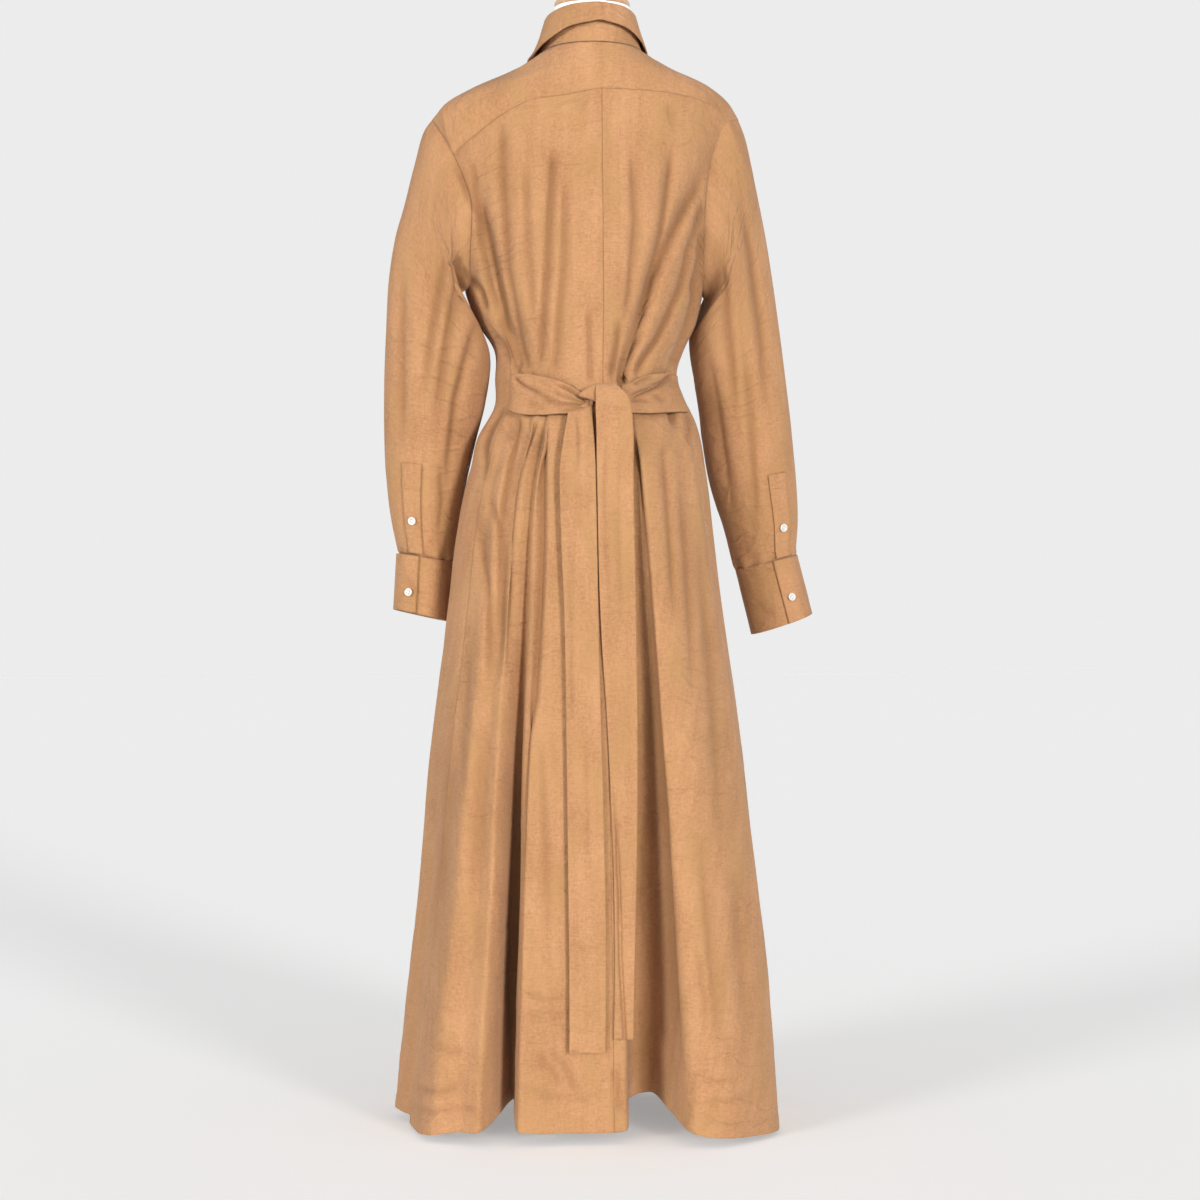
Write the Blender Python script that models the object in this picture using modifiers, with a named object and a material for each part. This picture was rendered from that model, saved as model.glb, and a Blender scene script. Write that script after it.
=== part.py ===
"""Long-sleeved shirt dress with a belt tied at the back, on a limbless dress form.

Metres, +Z up, standing on z = 0. The wearer faces -Y, so the back is at +Y and the
wearer's left is at +X. Around the body, an angle of 0 is the centre back, 90 the side
seam's side and 180 the centre front, and `side` is +1 on the left and -1 on the right.
"""

import math

import bmesh
import bpy
import numpy as np
from mathutils import Vector

# ---------------------------------------------------------------- driving sizes
CLOTH = 0.0016          # wall of one layer of linen
BELT_CLOTH = 0.0022     # wall of the two layers of the belt
SEAM = 0.0003           # gap between pieces at a seam
LAID = 0.0005           # gap under a piece that lies on another

HEM = 0.014             # height of the hem
HEM_REACH = 0.35        # height over which a raised hem fades out
BELT_LOW = 0.892        # heights of the belt's edges
BELT_HIGH = 0.942
UNDERARM = 1.055
YOKE_BACK = 1.2965      # height of the yoke seam at the centre back
YOKE_CURVE = {1: 1.6, -1: 5.0}
NECK_FRONT = 1.292      # height of the neckline at the centre front
FRONT_SEAM = 112.0      # angle of the front yoke seams
CHEST_FADE = 1.21       # height where the folds above the belt end

SKIRT_ROWS = 12         # rows of points from the hem to the belt
BODICE_ROWS = 4         # rows from the belt to the underarm
YOKE_ROWS = 4           # rows from the yoke seam to the neckline

BUTTON_RADIUS = 0.0055
BUTTON_THICK = 0.0024
BAND_WIDTH = 0.032      # front band
CUFF_LAP = 26.0         # degrees of overlap in a cuff
CUFF_LIFT = 0.0030      # height of the upper layer over the lower one
FRONT_BUTTONS = 10

POLE_RADIUS = 0.0125
BASE = (0.010, -0.020, 0.058, 0.120)    # x, y and half sizes of the oval plate
BASE_THICK = 0.012

LINEN = ("linen", (0.62, 0.37, 0.19, 1.0), 0.85, 0.0)
PEARL = ("pearl_plastic", (0.90, 0.88, 0.84, 1.0), 0.25, 0.0)
JERSEY = ("form_jersey", (0.86, 0.86, 0.85, 1.0), 0.80, 0.0)
BEECH = ("form_wood", (0.55, 0.36, 0.20, 1.0), 0.50, 0.0)
STEEL = ("form_painted_steel", (0.85, 0.85, 0.85, 1.0), 0.35, 0.0)

# ---------------------------------------------------------------- tables
# One row for each level section of the dress without its folds.
# Columns: height, half width on the left, half width on the right,
# y of the back, y of the front, y where the section is widest.
BODY = np.array((
    (0.000, 0.2400, 0.2320, 0.1700, -0.1850, 0.000),
    (0.150, 0.2270, 0.2310, 0.1660, -0.1750, 0.000),
    (0.300, 0.2115, 0.2215, 0.1580, -0.1600, 0.000),
    (0.450, 0.2010, 0.2060, 0.1500, -0.1460, 0.000),
    (0.600, 0.1840, 0.1840, 0.1420, -0.1340, 0.000),
    (0.700, 0.1730, 0.1690, 0.1360, -0.1260, 0.000),
    (0.780, 0.1630, 0.1590, 0.1310, -0.1190, 0.000),
    (0.830, 0.1500, 0.1520, 0.1270, -0.1140, 0.000),
    (0.866, 0.1350, 0.1460, 0.1230, -0.1100, 0.000),
    (0.892, 0.1230, 0.1370, 0.1190, -0.1070, 0.000),
    (0.918, 0.1180, 0.1240, 0.1150, -0.1040, 0.000),
    (0.942, 0.1185, 0.1155, 0.1130, -0.1040, 0.000),
    (0.968, 0.1140, 0.1180, 0.1140, -0.1080, 0.000),
    (0.996, 0.1270, 0.1310, 0.1170, -0.1150, 0.000),
    (1.030, 0.1460, 0.1410, 0.1180, -0.1220, 0.000),
    (1.060, 0.1580, 0.1500, 0.1170, -0.1260, 0.000),
    (1.100, 0.1710, 0.1580, 0.1150, -0.1220, 0.000),
    (1.160, 0.1810, 0.1670, 0.1120, -0.1080, 0.000),
    (1.208, 0.1950, 0.1740, 0.1090, -0.0920, 0.000),
    (1.240, 0.1990, 0.1820, 0.1080, -0.0800, 0.000),
    (1.268, 0.2010, 0.1980, 0.1070, -0.0670, 0.002),
    (1.282, 0.1910, 0.1970, 0.1065, -0.0600, 0.004),
    (1.294, 0.1760, 0.1870, 0.1060, -0.0550, 0.006),
    (1.307, 0.1525, 0.1740, 0.1050, -0.0500, 0.010),
    (1.319, 0.1240, 0.1500, 0.1040, -0.0460, 0.015),
    (1.331, 0.0980, 0.1170, 0.1025, -0.0410, 0.020),
    (1.343, 0.0785, 0.0840, 0.1000, -0.0360, 0.026),
    (1.351, 0.0655, 0.0680, 0.0980, -0.0330, 0.030),
    (1.360, 0.0570, 0.0580, 0.0950, -0.0280, 0.034),
))

# One row for each crest or trough, from the centre back (share 0) to the side seam (1).
# Columns: share at the chest, at the belt, at the hem; lift above the belt, under it
# and at the hem (outward, a trough is negative); rise of the hem.
BACK_FOLDS = {
    1: np.array((
        (0.00, 0.00, 0.00, 0.000, 0.000, 0.018, 0.000),
        (0.05, 0.06, 0.08, 0.000, 0.000, 0.018, 0.000),
        (0.13, 0.15, 0.18, -0.004, 0.003, 0.016, 0.000),
        (0.24, 0.30, 0.28, 0.003, -0.002, 0.022, 0.000),
        (0.42, 0.50, 0.395, 0.003, 0.004, 0.026, 0.003),
        (0.48, 0.54, 0.45, -0.004, -0.006, -0.050, 0.028),
        (0.55, 0.60, 0.50, 0.002, 0.001, -0.006, 0.016),
        (0.62, 0.66, 0.56, 0.003, 0.004, 0.042, 0.002),
        (0.70, 0.71, 0.66, -0.004, -0.004, 0.036, 0.000),
        (0.78, 0.80, 0.77, 0.004, 0.003, 0.044, -0.005),
        (0.90, 0.91, 0.89, -0.003, -0.004, 0.026, -0.009),
        (1.00, 1.00, 1.00, 0.000, 0.000, 0.008, -0.010),
    )),
    -1: np.array((
        (0.00, 0.00, 0.00, 0.000, 0.000, 0.018, 0.000),
        (0.05, 0.05, 0.05, 0.000, 0.001, 0.018, 0.002),
        (0.12, 0.10, 0.12, -0.003, 0.001, -0.048, 0.026),
        (0.22, 0.14, 0.18, 0.003, -0.002, -0.062, 0.030),
        (0.36, 0.20, 0.25, -0.009, -0.005, -0.052, 0.033),
        (0.46, 0.27, 0.29, 0.003, 0.004, 0.062, 0.002),
        (0.56, 0.40, 0.42, -0.006, 0.002, 0.082, -0.004),
        (0.66, 0.55, 0.57, 0.004, 0.000, 0.076, -0.007),
        (0.74, 0.70, 0.69, -0.006, -0.003, 0.068, -0.009),
        (0.84, 0.82, 0.80, 0.003, 0.003, 0.048, -0.010),
        (0.92, 0.91, 0.90, 0.000, -0.002, 0.022, -0.010),
        (1.00, 1.00, 1.00, 0.000, 0.000, 0.002, -0.010),
    )),
}

# The same columns, from the side seam (share 0) to the centre front (1).
FRONT_FOLDS = {
    1: np.array((
        (0.00, 0.00, 0.00, 0.000, 0.000, 0.008, -0.010),
        (0.13, 0.13, 0.13, 0.002, 0.002, -0.010, -0.004),
        (0.27, 0.28, 0.28, -0.003, -0.003, 0.008, 0.000),
        (0.41, 0.42, 0.41, 0.003, 0.003, -0.018, 0.010),
        (0.55, 0.56, 0.55, -0.003, -0.003, 0.028, 0.000),
        (0.69, 0.70, 0.70, 0.002, 0.003, -0.012, 0.008),
        (0.83, 0.84, 0.86, -0.002, -0.002, 0.010, 0.000),
        (1.00, 1.00, 1.00, 0.000, 0.000, 0.014, 0.000),
    )),
    -1: np.array((
        (0.00, 0.00, 0.00, 0.000, 0.000, 0.002, -0.010),
        (0.12, 0.12, 0.13, -0.002, 0.002, -0.012, -0.004),
        (0.26, 0.27, 0.28, 0.003, -0.003, 0.010, 0.000),
        (0.40, 0.41, 0.42, -0.003, 0.003, -0.016, 0.010),
        (0.54, 0.55, 0.57, 0.003, -0.003, 0.026, 0.000),
        (0.68, 0.69, 0.71, -0.002, 0.002, -0.012, 0.008),
        (0.84, 0.84, 0.86, 0.002, -0.002, 0.010, 0.000),
        (1.00, 1.00, 1.00, 0.000, 0.000, 0.014, 0.000),
    )),
}

# Side seams. Columns: height, angle.
SIDE_SEAM = np.array((
    (0.000, 70.0),
    (0.892, 64.0),
    (0.942, 64.0),
    (0.996, 71.0),
    (1.055, 82.0),
))

# Armholes in three stretches: up the back, over the shoulder, down the front.
# Columns: angle on the left, height on the left, angle and height on the right.
ARMHOLE_BACK = np.array((
    (82.0, 1.0550, 82.0, 1.0550),
    (73.0, 1.0740, 71.0, 1.0720),
    (66.5, 1.1000, 64.0, 1.0980),
    (62.5, 1.1300, 60.0, 1.1340),
    (60.5, 1.1600, 58.0, 1.1760),
    (61.5, 1.1900, 58.5, 1.2240),
    (65.0, 1.2168, 59.0, 1.2680),
))
ARMHOLE_TOP = np.array((
    (65.0, 1.2168, 59.0, 1.2680),
    (70.0, 1.2360, 66.0, 1.2730),
    (77.0, 1.2540, 74.0, 1.2765),
    (86.0, 1.2660, 83.0, 1.2780),
    (94.0, 1.2675, 92.0, 1.2760),
    (102.0, 1.2620, 100.0, 1.2680),
    (108.0, 1.2480, 108.0, 1.2500),
    (112.0, 1.2300, 112.0, 1.2310),
))
ARMHOLE_FRONT = np.array((
    (112.0, 1.2300, 112.0, 1.2310),
    (116.0, 1.2000, 116.0, 1.2000),
    (118.0, 1.1650, 118.0, 1.1660),
    (118.0, 1.1300, 118.0, 1.1300),
    (115.0, 1.1000, 115.0, 1.0980),
    (108.0, 1.0780, 108.0, 1.0740),
    (97.0, 1.0630, 97.0, 1.0580),
    (82.0, 1.0550, 82.0, 1.0550),
))

# Neckline. Columns: angle, height.
NECKLINE = np.array((
    (0.0, 1.3560),
    (45.0, 1.3555),
    (90.0, 1.3530),
    (112.0, 1.3470),
    (140.0, 1.3270),
    (165.0, 1.3020),
    (180.0, 1.2920),
))

# Collar. Columns: angle, height of the fold line, its reach from the neck's axis,
# drop of the leaf's free edge below the fold line, reach of that edge.
COLLAR = np.array((
    (0.0, 1.4045, 0.0535, 0.0215, 0.0660),
    (30.0, 1.4030, 0.0535, 0.0260, 0.0670),
    (60.0, 1.3985, 0.0540, 0.0350, 0.0690),
    (90.0, 1.3930, 0.0545, 0.0430, 0.0735),
    (120.0, 1.3780, 0.0580, 0.0500, 0.0880),
    (150.0, 1.3520, 0.0660, 0.0620, 0.1080),
    (176.0, 1.3300, 0.0720, 0.0740, 0.1240),
))
NECK_AXIS = (0.0015, 0.036)
COLLAR_END = 176.0      # angle of the collar's front ends
COLLAR_OVER = 0.0052    # the leaf's outer side over the shoulders

# Sleeves, one row for each section below the armhole.
# Columns: x and z of the outer side, x and z of the inner side (x away from the
# body), y of the middle, half depth.
SLEEVE = {
    1: np.array((
        (0.2010, 1.2680, 0.1560, 1.0550, 0.000, 0.0520),
        (0.2110, 1.2520, 0.1690, 1.0440, 0.000, 0.0560),
        (0.2265, 1.1920, 0.1560, 1.0150, -0.002, 0.0590),
        (0.2392, 1.1410, 0.1390, 0.9940, -0.006, 0.0600),
        (0.2519, 1.0900, 0.1280, 0.9760, -0.010, 0.0600),
        (0.2552, 1.0200, 0.1235, 0.9540, -0.018, 0.0580),
        (0.2572, 0.9500, 0.1270, 0.9180, -0.030, 0.0550),
        (0.2555, 0.8800, 0.1385, 0.8620, -0.046, 0.0510),
        (0.2525, 0.8200, 0.1490, 0.8080, -0.058, 0.0470),
        (0.2460, 0.7700, 0.1570, 0.7600, -0.064, 0.0430),
        (0.2370, 0.7300, 0.1630, 0.7200, -0.066, 0.0370),
        (0.2340, 0.7210, 0.1660, 0.7090, -0.066, 0.0345),
    )),
    -1: np.array((
        (0.2000, 1.2760, 0.1500, 1.0550, 0.000, 0.0520),
        (0.2080, 1.2520, 0.1600, 1.0440, 0.000, 0.0550),
        (0.2200, 1.1940, 0.1500, 1.0160, 0.000, 0.0580),
        (0.2300, 1.1500, 0.1395, 0.9940, -0.002, 0.0590),
        (0.2410, 1.0950, 0.1400, 0.9700, -0.006, 0.0590),
        (0.2540, 1.0200, 0.1450, 0.9400, -0.012, 0.0570),
        (0.2660, 0.9500, 0.1520, 0.9080, -0.020, 0.0540),
        (0.2770, 0.8740, 0.1620, 0.8500, -0.028, 0.0500),
        (0.2850, 0.8120, 0.1760, 0.7960, -0.036, 0.0460),
        (0.2885, 0.7650, 0.1915, 0.7500, -0.042, 0.0420),
        (0.2870, 0.7280, 0.2010, 0.7140, -0.044, 0.0370),
        (0.2870, 0.7206, 0.2053, 0.7016, -0.044, 0.0350),
    )),
}
# Cuffs, the same columns, top and bottom.
CUFF = {
    1: np.array((
        (0.2380, 0.7200, 0.1640, 0.7080, -0.066, 0.0350),
        (0.2420, 0.6480, 0.1690, 0.6320, -0.066, 0.0380),
    )),
    -1: np.array((
        (0.2885, 0.7200, 0.2060, 0.7010, -0.044, 0.0350),
        (0.3090, 0.6430, 0.2280, 0.6150, -0.044, 0.0380),
    )),
}
SLEEVE_SETTLE = 0.16    # share of the sleeve that takes it from armhole to ellipse
GATHERS = 10            # gathers around a sleeve's end
GATHER_LIFT = 0.0016
GATHER_START = 0.84     # share of the sleeve where the gathers begin
PLACKET_TURN = {1: 117.0, -1: 112.0}    # degrees around a sleeve, inner, back, outer
CUFF_EDGE = {1: 108.0, -1: 90.0}       # turn of a cuff's visible end
PLACKET_TOP = 0.70      # share of the sleeve where the placket starts
WRIST = {1: (0.2000, -0.0660, 0.7200), -1: (-0.2480, -0.0440, 0.7200)}
SLEEVE_BUTTONS = {1: (0.761, 0.670), -1: (0.754, 0.664)}    # heights, placket and cuff

# Belt pieces on the back. Columns: angle, height of the lower and the upper edge.
BELT = {
    1: np.array((
        (63.3, 0.9000, 0.9420),
        (54.0, 0.8930, 0.9425),
        (44.0, 0.8900, 0.9400),
        (33.0, 0.8895, 0.9355),
        (23.0, 0.8920, 0.9280),
        (15.0, 0.8960, 0.9180),
        (7.0, 0.9010, 0.9085),
    )),
    -1: np.array((
        (63.3, 0.8990, 0.9440),
        (50.0, 0.8970, 0.9450),
        (36.0, 0.8945, 0.9430),
        (25.0, 0.8925, 0.9370),
        (16.0, 0.8920, 0.9300),
        (10.0, 0.8930, 0.9240),
    )),
}
BELT_OUT = 0.0069       # outer side of the belt over the plain section

# Knot: x, height, reach of its centre over the plain section; half sizes.
KNOT = (-0.0060, 0.9060, 0.0125)
KNOT_SIZE = (0.0160, 0.0065, 0.0180)

# Tails of the belt. Columns: height, x of the left edge, x of the right edge.
TAIL_UNDER = np.array((
    (0.886, 0.046, 0.016),
    (0.850, 0.056, 0.014),
    (0.780, 0.058, 0.013),
    (0.600, 0.054, 0.012),
    (0.400, 0.054, 0.009),
    (0.250, 0.054, 0.008),
    (0.111, 0.055, 0.011),
))
TAIL_OVER = np.array((
    (0.930, 0.0130, -0.0060),
    (0.921, 0.0135, -0.0180),
    (0.912, 0.0140, -0.0260),
    (0.900, 0.0140, -0.0305),
    (0.885, 0.0135, -0.0325),
    (0.860, 0.0120, -0.0340),
    (0.780, 0.0115, -0.0345),
    (0.650, 0.0100, -0.0350),
    (0.530, 0.0040, -0.0350),
    (0.400, -0.0010, -0.0330),
    (0.300, -0.0030, -0.0300),
    (0.200, -0.0020, -0.0260),
    (0.126, 0.0000, -0.0240),
))
KNOT_FADE = 0.075       # height under the knot over which the tail comes back in

# Dress form, one row for each level section.
# Columns: height, half width, y of the back, y of the front, y where it is widest.
FORM = np.array((
    (0.780, 0.1180, 0.0820, -0.0800, 0.000),
    (0.860, 0.1120, 0.0860, -0.0850, 0.000),
    (0.940, 0.0960, 0.0880, -0.0820, 0.000),
    (1.000, 0.1050, 0.0920, -0.0860, 0.000),
    (1.070, 0.1260, 0.0980, -0.0980, 0.000),
    (1.140, 0.1460, 0.0980, -0.0900, 0.000),
    (1.200, 0.1580, 0.0960, -0.0740, 0.000),
    (1.235, 0.1630, 0.0950, -0.0600, 0.000),
    (1.262, 0.1620, 0.0940, -0.0500, 0.002),
    (1.283, 0.1570, 0.0930, -0.0420, 0.006),
    (1.297, 0.1490, 0.0920, -0.0380, 0.009),
    (1.308, 0.1370, 0.0920, -0.0360, 0.012),
    (1.3167, 0.1235, 0.0920, -0.0340, 0.015),
    (1.3287, 0.0975, 0.0910, -0.0300, 0.020),
    (1.3405, 0.0775, 0.0895, -0.0250, 0.026),
    (1.349, 0.0640, 0.0880, -0.0200, 0.030),
    (1.360, 0.0535, 0.0860, -0.0150, 0.034),
    (1.375, 0.0484, 0.0844, -0.0124, 0.036),
    (1.4105, 0.0478, 0.0838, -0.0118, 0.036),
))
FORM_SIDES = 28
CAP_TOP = 1.430         # height of the wooden cap's crown
CAP_EDGE = 0.004        # height of its straight rim

# ---------------------------------------------------------------- curves
def smooth_curve(xs, ys, at, level_ends=False):
    """Value at `at` of a smooth curve through (xs, ys) that never overshoots them."""
    xs = np.asarray(xs, float)
    ys = np.asarray(ys, float)
    step = np.diff(xs)
    slope = np.diff(ys) / step
    same = slope[1:] * slope[:-1] > 0
    total = np.where(same, slope[1:] + slope[:-1], 1.0)
    tangent = np.empty_like(ys)
    tangent[1:-1] = np.where(same, 2 * slope[1:] * slope[:-1] / total, 0.0)
    tangent[0] = 0.0 if level_ends else slope[0]
    tangent[-1] = 0.0 if level_ends else slope[-1]
    at = np.clip(at, xs[0], xs[-1])
    i = np.clip(np.searchsorted(xs, at, side="right") - 1, 0, len(step) - 1)
    t = (at - xs[i]) / step[i]
    rise = ys[i + 1] - ys[i]
    start = tangent[i] * step[i]
    end = tangent[i + 1] * step[i]
    return ys[i] + t * (start + t * (3 * rise - 2 * start - end + t * (start + end - 2 * rise)))


def ease(t):
    """0 to 1 with level ends."""
    t = np.clip(t, 0.0, 1.0)
    return t * t * (3 - 2 * t)


def mix(a, b, t):
    return a + (b - a) * t


# ---------------------------------------------------------------- dress surface
def body_point(side, angle, height, lift=0.0):
    """Point of the dress at an angle (degrees) and height, moved out by lift."""
    width = smooth_curve(BODY[:, 0], BODY[:, 1 if side > 0 else 2], height)
    back = smooth_curve(BODY[:, 0], BODY[:, 3], height)
    front = smooth_curve(BODY[:, 0], BODY[:, 4], height)
    middle = smooth_curve(BODY[:, 0], BODY[:, 5], height)
    turn = np.radians(angle)
    depth = np.where(np.cos(turn) > 0, back - middle, middle - front)
    across = 0.45 * np.sin(turn)
    along = np.cos(turn)
    length = np.hypot(across, along)
    x = side * (width * np.sin(turn) + lift * across / length)
    y = middle + depth * np.cos(turn) + lift * along / length
    return np.stack(np.broadcast_arrays(x, y, height), axis=-1)


def fold_row(folds, column, height):
    """Shares, lifts and hem rise of a fold table at a height, read at `column`."""
    index = np.linspace(0.0, 1.0, len(folds))
    down = np.clip((BELT_LOW - height) / (BELT_LOW - HEM), 0.0, 1.0)
    up = np.clip((height - BELT_HIGH) / (1.10 - BELT_HIGH), 0.0, 1.0)
    under_belt = ease((height - BELT_LOW) / (BELT_HIGH - BELT_LOW))
    share = mix(folds[:, 1], folds[:, 2], down)
    share = mix(share, folds[:, 0], up)
    fade = np.clip((CHEST_FADE - height) / (CHEST_FADE - BELT_HIGH), 0.0, 1.0) ** 1.3
    lift = mix(folds[:, 4], folds[:, 5], down ** 0.8)
    lift = mix(lift, folds[:, 3] * fade, under_belt)
    rise = folds[:, 6] * np.clip(1 - (height - HEM) / HEM_REACH, 0.0, 1.0) ** 2
    return (
        smooth_curve(index, share, column),
        smooth_curve(index, lift, column, level_ends=True),
        smooth_curve(index, rise, column, level_ends=True),
    )


def low_heights():
    """Heights of the rows from the hem to the underarm."""
    skirt = HEM + (BELT_LOW - HEM) * np.linspace(0.0, 1.0, SKIRT_ROWS) ** 0.9
    bodice = np.linspace(BELT_HIGH, UNDERARM, BODICE_ROWS)
    return np.concatenate((skirt, [(BELT_LOW + BELT_HIGH) / 2], bodice))


def low_rows(side, folds, front):
    """Rows of a panel from the hem to the underarm."""
    columns = np.linspace(0.0, 1.0, 2 * len(folds) - 1)
    rows = []
    for height in low_heights():
        share, lift, rise = fold_row(folds, columns, height)
        seam = smooth_curve(SIDE_SEAM[:, 0], SIDE_SEAM[:, 1], height)
        angle = mix(seam, 180.0, share) if front else seam * share
        rows.append(body_point(side, angle, height + rise, lift))
    return rows


def armhole(table, side):
    """Angles and heights of an armhole stretch on one side."""
    first = 0 if side > 0 else 2
    return table[:, first], table[:, first + 1]


def back_panel(side):
    """Points of a back panel, rows from the hem to the yoke seam."""
    folds = BACK_FOLDS[side]
    rows = low_rows(side, folds, front=False)
    columns = np.linspace(0.0, 1.0, 2 * len(folds) - 1)
    angles, heights = armhole(ARMHOLE_BACK, side)
    for k in range(1, len(angles)):
        centre = mix(UNDERARM, YOKE_BACK, k / (len(angles) - 1))
        share, lift, _ = fold_row(folds, columns, centre)
        height = mix(centre, heights[k], columns ** YOKE_CURVE[side])
        keep = 1 - share * k / (len(angles) - 1)
        rows.append(body_point(side, angles[k] * share, height, lift * keep))
    return np.array(rows)


def neckline(angle):
    return smooth_curve(NECKLINE[:, 0], NECKLINE[:, 1], angle)


def front_panel(side):
    """Points of a front panel, rows from the hem to the neckline."""
    folds = FRONT_FOLDS[side]
    rows = low_rows(side, folds, front=True)
    columns = np.linspace(0.0, 1.0, 2 * len(folds) - 1)
    angles, heights = armhole(ARMHOLE_FRONT[::-1], side)
    seam_heights = np.linspace(heights[-1], neckline(FRONT_SEAM), YOKE_ROWS + 1)
    angles = np.append(angles, np.full(YOKE_ROWS, FRONT_SEAM))
    heights = np.append(heights, seam_heights[1:])
    count = len(angles) - 1
    for k in range(1, count + 1):
        centre = mix(UNDERARM, NECK_FRONT, k / count)
        share, lift, _ = fold_row(folds, columns, centre)
        angle = mix(angles[k], 180.0, share)
        level = mix(heights[k], centre, 1 - (1 - share) ** 1.3)
        cut = neckline(angle) - (neckline(FRONT_SEAM) - heights[k]) * (1 - share)
        height = mix(level, cut, ease((k - 5) / (count - 5)))
        rows.append(body_point(side, angle, height, lift * share * (1 - k / count)))
    return np.array(rows)


def yoke_half(side):
    """Columns of the yoke from the centre back to the front seam, rows going up."""
    top_row = BACK_FOLDS[side]
    columns = np.linspace(0.0, 1.0, 2 * len(top_row) - 1)
    share, _, _ = fold_row(top_row, columns, YOKE_BACK)
    angles, heights = armhole(ARMHOLE_BACK, side)
    low_angle = angles[-1] * share
    low_height = mix(YOKE_BACK, heights[-1], columns ** YOKE_CURVE[side])
    over_angle, over_height = armhole(ARMHOLE_TOP, side)
    low_angle = np.append(low_angle, over_angle[1:])
    low_height = np.append(low_height, over_height[1:])
    rows = []
    for t in np.linspace(0.0, 1.0, YOKE_ROWS + 1):
        height = mix(low_height, neckline(low_angle), t)
        rows.append(body_point(side, low_angle, height))
    return np.array(rows)


# ---------------------------------------------------------------- sleeves
def armhole_ring(side):
    """Points of the whole armhole: up the back, over the top, down the front."""
    parts = []
    for table in (ARMHOLE_BACK, ARMHOLE_TOP, ARMHOLE_FRONT):
        angles, heights = armhole(table, side)
        parts.append(body_point(side, angles[:-1], heights[:-1]))
    return np.concatenate(parts)


def tube_ring(side, row, turn, lift=0.0):
    """Ring of a sleeve or cuff from one table row; turn 0 is the inner side."""
    outer = np.array((side * row[0], row[1]))
    inner = np.array((side * row[2], row[3]))
    half = (outer - inner) / 2
    grow = 1 + lift / np.hypot(*half)
    centre = (outer + inner) / 2
    across = -np.cos(turn) * grow
    x = centre[0] + across * half[0]
    z = centre[1] + across * half[1]
    y = row[4] + (row[5] + lift) * np.sin(turn)
    return np.stack((x, y, z), axis=-1)


def ring_turns(side):
    """Turn around the sleeve of each point of the armhole."""
    ring = armhole_ring(side)
    first = SLEEVE[side][0]
    low = np.array((side * first[2], first[3]))
    high = np.array((side * first[0], first[1]))
    axis = (high - low) / 2
    share = ((ring[:, (0, 2)] - (low + high) / 2) @ axis) / (axis @ axis)
    turn = np.arctan2(ring[:, 1] / first[5], -share)
    turn = np.mod(turn, 2 * np.pi)
    turn[0] = 0.0
    return turn


def sleeve_row(side, place):
    """Row of the sleeve table at a share of the way from armhole to cuff."""
    table = SLEEVE[side]
    index = np.linspace(0.0, 1.0, len(table))
    return np.array([smooth_curve(index, table[:, c], place) for c in range(6)])


def sleeve_point(side, turn, place, lift=0.0):
    """Points of the sleeve below its cap, gathered towards the cuff."""
    pull = ease((place - GATHER_START) / (1 - GATHER_START))
    wave = GATHER_LIFT * pull * np.cos(GATHERS * turn)
    return tube_ring(side, sleeve_row(side, place), turn, lift + wave)


def sleeve(side):
    ring = armhole_ring(side)
    start = ring_turns(side)
    even = np.linspace(0.0, 2 * np.pi, len(start), endpoint=False)
    places = np.concatenate((np.linspace(0.0, 0.8, 11), np.linspace(0.84, 1.0, 6)))
    rows = []
    for place in places:
        settled = ease(place / SLEEVE_SETTLE)
        turn = mix(start, even, ease(place / 0.5))
        shift = (ring - tube_ring(side, SLEEVE[side][0], start)) * (1 - settled)
        rows.append(sleeve_point(side, turn, place) + shift)
    return np.array(rows)


def cuff_point(side, turn, down, lift=0.0):
    """Point of a cuff, `down` from its top (0) to its edge (1)."""
    row = mix(CUFF[side][0], CUFF[side][1], down)
    return tube_ring(side, row, turn, lift)


def cuff(side):
    """Cuff, lapped over itself beside the placket."""
    swept = np.linspace(0.0, 360.0 + CUFF_LAP, 27)
    turn = np.radians(CUFF_EDGE[side] + swept)
    lift = CUFF_LIFT * (1 - ease((swept - CUFF_LAP - 8.0) / 22.0))
    rows = []
    for down in (1.0, 0.5, 0.0):
        plain = cuff_point(side, turn, down)
        raised = cuff_point(side, turn, down, CUFF_LIFT)
        rows.append(mix(plain, raised, (lift / CUFF_LIFT)[:, None]))
    return np.array(rows)


def placket(side):
    """Strip on the sleeve above the cuff's opening."""
    turn = np.radians(PLACKET_TURN[side] + np.linspace(-14.0, 14.0, 5))
    rows = []
    for place in np.linspace(0.985, PLACKET_TOP, 8):
        pull = ease((place - GATHER_START) / (1 - GATHER_START))
        lift = LAID + CLOTH + SEAM + GATHER_LIFT * pull
        rows.append(tube_ring(side, sleeve_row(side, place), turn, lift))
    return np.array(rows)


# ---------------------------------------------------------------- collar
def collar_ring(column):
    """Angles of the collar's sections with one column of its table."""
    angles = np.linspace(0.0, COLLAR_END, 16)
    return angles, smooth_curve(COLLAR[:, 0], COLLAR[:, column], angles)


def neck_point(side, angle, reach, height):
    turn = np.radians(angle)
    x = NECK_AXIS[0] + side * reach * np.sin(turn)
    y = NECK_AXIS[1] + reach * np.cos(turn)
    return np.stack(np.broadcast_arrays(x, y, height), axis=-1)


def stand_line(side, angles):
    """Reach and height of the stand's base at angles around the neck's axis."""
    around = np.linspace(0.0, 180.0, 61)
    base = body_point(side, around, neckline(around))
    x = np.maximum(side * (base[:, 0] - NECK_AXIS[0]), 0.0)
    y = base[:, 1] - NECK_AXIS[1]
    turn = np.degrees(np.arctan2(x, y))
    reach = np.interp(angles, turn, np.hypot(x, y))
    return reach, np.interp(angles, turn, base[:, 2])


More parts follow.
